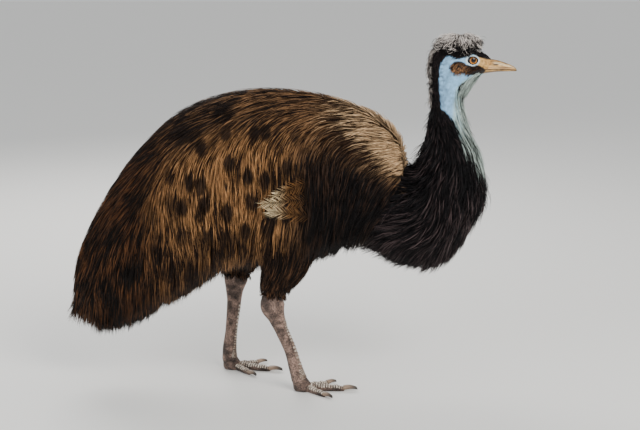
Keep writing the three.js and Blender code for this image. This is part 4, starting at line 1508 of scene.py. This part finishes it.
def makeBill():
    for name, upper in (("upperBill", True), ("lowerBill", False)):
        mesh = wrapped(name, 120, 96, billPlace(upper))
        points = pointsOf(mesh) * 1000
        x, z = points[:, 0], points[:, 2]
        line = SmoothLine(billStations).at(np.linspace(0, 1, 200))
        crown, mouth = np.interp(x, line[:, 0], line[:, 1]), np.interp(x, line[:, 0], line[:, 2])
        height = (z - mouth) / np.maximum(crown - mouth, 3)
        tan = hornTan(points / 1000)
        # painted highlight: a pale band along the flank of the upper bill, which also weakens the streaks
        # under it
        paintedHighlight = smooth(height, 0.42, 0.56) * (1 - smooth(height, 0.7, 0.84)) * smooth(x, 690, 712) * upper
        tan = mix(tan, linear(248, 226, 182), (0.75 * paintedHighlight)[:, None])
        dark = linear(46, 27, 16)
        # painted shade in the mouth line, the groove, the nostril slit and over the lower bill, deepening
        # towards its bottom edge; the darker culmen line, tip and streaks are the horn's own colour
        shade = 0.8 * smooth(height, 0.86, 0.97) * (1 - 0.4 * smooth(x, 740, 770))
        shade = np.maximum(shade, 0.9 * (1 - smooth(np.abs(z - mouth), 0.9, 2.4)))
        streak = noise(points / 1000 * np.array([0.16, 1, 1]), 2.4, 15)
        shade = np.maximum(shade, 0.6 * smooth(streak, 0.58, 0.76) * (1 - 0.6 * paintedHighlight))
        noseX, noseZ = billDetail["nostril"]
        hole = np.exp(-(((x - noseX) / 12) ** 2) - ((z - noseZ) / 2.8) ** 2)
        shade = np.maximum(shade, 0.95 * smooth(hole, 0.25, 0.75) * (np.abs(points[:, 1]) > 6))
        shade = np.maximum(shade, 0.6 * smooth(x, 762, 778))
        groove = np.exp(-(((z - mouth - billDetail["groove"]) / 1.4) ** 2)) * smooth(x, 664, 690)
        shade = np.maximum(shade, 0.75 * groove * (1 - smooth(x, 750, 768)) * upper)
        if not upper:
            shade = np.maximum(shade, 0.12 + 0.6 * smooth(mouth - z, 4.5, 9))
        setTint(mesh, mix(tan, dark, shade[:, None]))
        addPiece(name, mesh, materials["bill"], ["upper_bill" if upper else "lower_bill"])


makeBill()
print("bill made")


# claws and the plates of toes and shanks

def clawPlace(leg, kind):
    ahead = heading(leg, kind)
    left = np.array([-ahead[1], ahead[0], 0])
    ball = np.array([*leg["ball"], 0])

    def place(share, turn):
        tip = np.sqrt(np.clip(1 - np.maximum(share - 0.9, 0) ** 2 / 0.0104, 0.05, 1))
        wide = kind["half"] * mix(0.76, 0.36, share**1.4) * tip
        tall = kind["high"] * mix(0.68, 0.32, share**1.4) * tip
        low = 2.2 + 5.5 * np.sin(np.pi * 0.8 * share) * kind["claw"] / 48
        far = kind["reach"] - 3 + (kind["claw"] + 2.6) * share
        rise = np.sin(turn)
        keel = np.where(rise < 0, 0.72, 1)
        across = wide * np.sign(np.cos(turn)) * np.abs(np.cos(turn)) ** 0.85 * keel
        height = low + tall / 2 + tall / 2 * rise
        points = ball + ahead * far[:, None] + left * across[:, None]
        points[:, 2] = height
        return points / 1000

    return place


def makeClaws():
    for side, leg in legs.items():
        for name, kind in toes.items():
            label = f"{side}{name.capitalize()}Claw"
            mesh = wrapped(label, 40, 30, clawPlace(leg, kind))
            points = pointsOf(mesh)
            ahead = heading(leg, kind)
            far = points @ ahead * 1000 - np.dot(leg["ball"], ahead[:2])
            far = (far - kind["reach"]) / kind["claw"]
            tone = mix(linear(150, 126, 106), linear(38, 28, 22), smooth(far, 0.1, 0.95)[:, None])
            # painted shade: darker along the claw's underside, next to the floor
            tone = tone * mix(0.45, 1, smooth(points[:, 2] * 1000, 3, 9))[:, None]
            setTint(mesh, tone)
            addPiece(label, mesh, materials["claw"], [f"claw_{name}_{side}"])


plateShape = {
    "rows": 5, "columns": 9, "rise": 1.9, "sink": 2.0,
    "toeStart": 12, "toeTurn": 70, "shankCount": 24, "shankTop": 250, "shankTurn": (44, 84),
}


def platesMesh(name, spots, place):  # thin and bent: a middle and half a reach along, then the same round
    rows, columns = plateShape["rows"], plateShape["columns"]
    a, b = np.meshgrid(np.linspace(-1, 1, rows), np.linspace(-1, 1, columns), indexing="ij")
    edge = np.maximum(np.abs(a) ** 3, np.abs(b) ** 4)
    top = plateShape["rise"] * (1 - edge) - 0.6 * edge
    bottom = top - plateShape["sink"]
    index = np.arange(rows * columns).reshape(rows, columns)
    quads = np.stack([index[:-1, :-1], index[1:, :-1], index[1:, 1:], index[:-1, 1:]], -1).reshape(-1, 4)
    rim = np.concatenate([index[0, :], index[1:, -1], index[-1, -2::-1], index[-2:0:-1, 0]])
    count = rows * columns
    sides = np.stack([rim, np.roll(rim, -1), np.roll(rim, -1) + count, rim + count], -1)
    faces = np.concatenate([quads, quads[:, ::-1] + count, sides])
    layers = []
    for height in (top, bottom):
        share = spots[:, 0:1] + spots[:, 1:2] * a.ravel()[None] * (0.82 - 0.12 * b.ravel()[None] ** 2)
        turn = spots[:, 2:3] + spots[:, 3:4] * b.ravel()[None]
        raised = np.broadcast_to(height.ravel()[None], share.shape)
        layers.append(place(share.ravel(), turn.ravel(), raised.ravel()).reshape(len(spots), count, 3))
    points = np.concatenate(layers, 1).reshape(-1, 3)
    loops = (faces[None] + 2 * count * np.arange(len(spots))[:, None, None]).reshape(-1, 4)
    mesh = bpy.data.meshes.new(name)
    mesh.from_pydata(points.tolist(), [], loops.tolist())
    bm = bmesh.new()
    bm.from_mesh(mesh)
    bmesh.ops.recalc_face_normals(bm, faces=bm.faces[:])
    bm.to_mesh(mesh)
    bm.free()
    mesh.shade_smooth()
    return mesh


def plateTone(mesh):  # pale in the middle, darkened at the rims as painted shade in the gaps between plates
    points = pointsOf(mesh)
    patch = smooth(noise(points, 12, 12) * 0.5 + noise(points, 34, 13) * 0.5, 0.3, 0.7)
    pale, dark = linear(236, 222, 204), linear(156, 132, 114)
    edge = np.abs(np.linspace(-1, 1, plateShape["rows"]))[:, None] + np.zeros(plateShape["columns"])
    # painted shade: each plate is darker towards its rim
    middle = mix(0.22, 1, 1 - smooth(np.tile(edge.ravel(), len(points) // edge.size), 0.4, 1))
    setTint(mesh, mix(dark, pale, patch[:, None]) * middle[:, None])


def makePlates():
    for side, leg in legs.items():
        for name, kind in toes.items():
            start, reach, count = plateShape["toeStart"], kind["reach"], kind["plates"]
            middles = start + (reach - start - 3) * (np.arange(count) + 0.5) / count
            shares = (middles - toeStart) / (reach + 1 - toeStart)
            half = 0.5 * (reach - start - 3) / count / (reach + 1 - toeStart)
            wide = math.radians(plateShape["toeTurn"])
            spots = np.array([(share, half, np.pi / 2, wide) for share in shares])
            mesh = platesMesh(f"{side}{name.capitalize()}Plates", spots, toePlace(leg, kind))
            plateTone(mesh)
            addPiece(mesh.name, mesh, materials["scales"])
        spine = SmoothLine([s[:3] for s in leg["stations"]]).at(np.linspace(0, 1, 400))
        low = np.interp(-plateShape["shankTop"], -spine[:, 2], np.linspace(0, 1, 400))
        count = plateShape["shankCount"]
        shares = mix(low, 1, (np.arange(count) + 0.5) / count)
        half = 0.5 * (1 - low) / count
        reach = np.radians(mix(*plateShape["shankTurn"], np.linspace(0, 1, count) ** 2))
        spots = np.array([(share, half, -np.pi / 2, wide) for share, wide in zip(shares, reach)])
        mesh = platesMesh(f"{side}ShankPlates", spots, hides[side].shape)
        plateTone(mesh)
        addPiece(mesh.name, mesh, materials["scales"])


makeClaws()
makePlates()
print("feet made")

boxes = {"cad": cadBox, "visual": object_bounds()}
{name: [list(map(float, row)) for row in box] for name, box in boxes.items()}
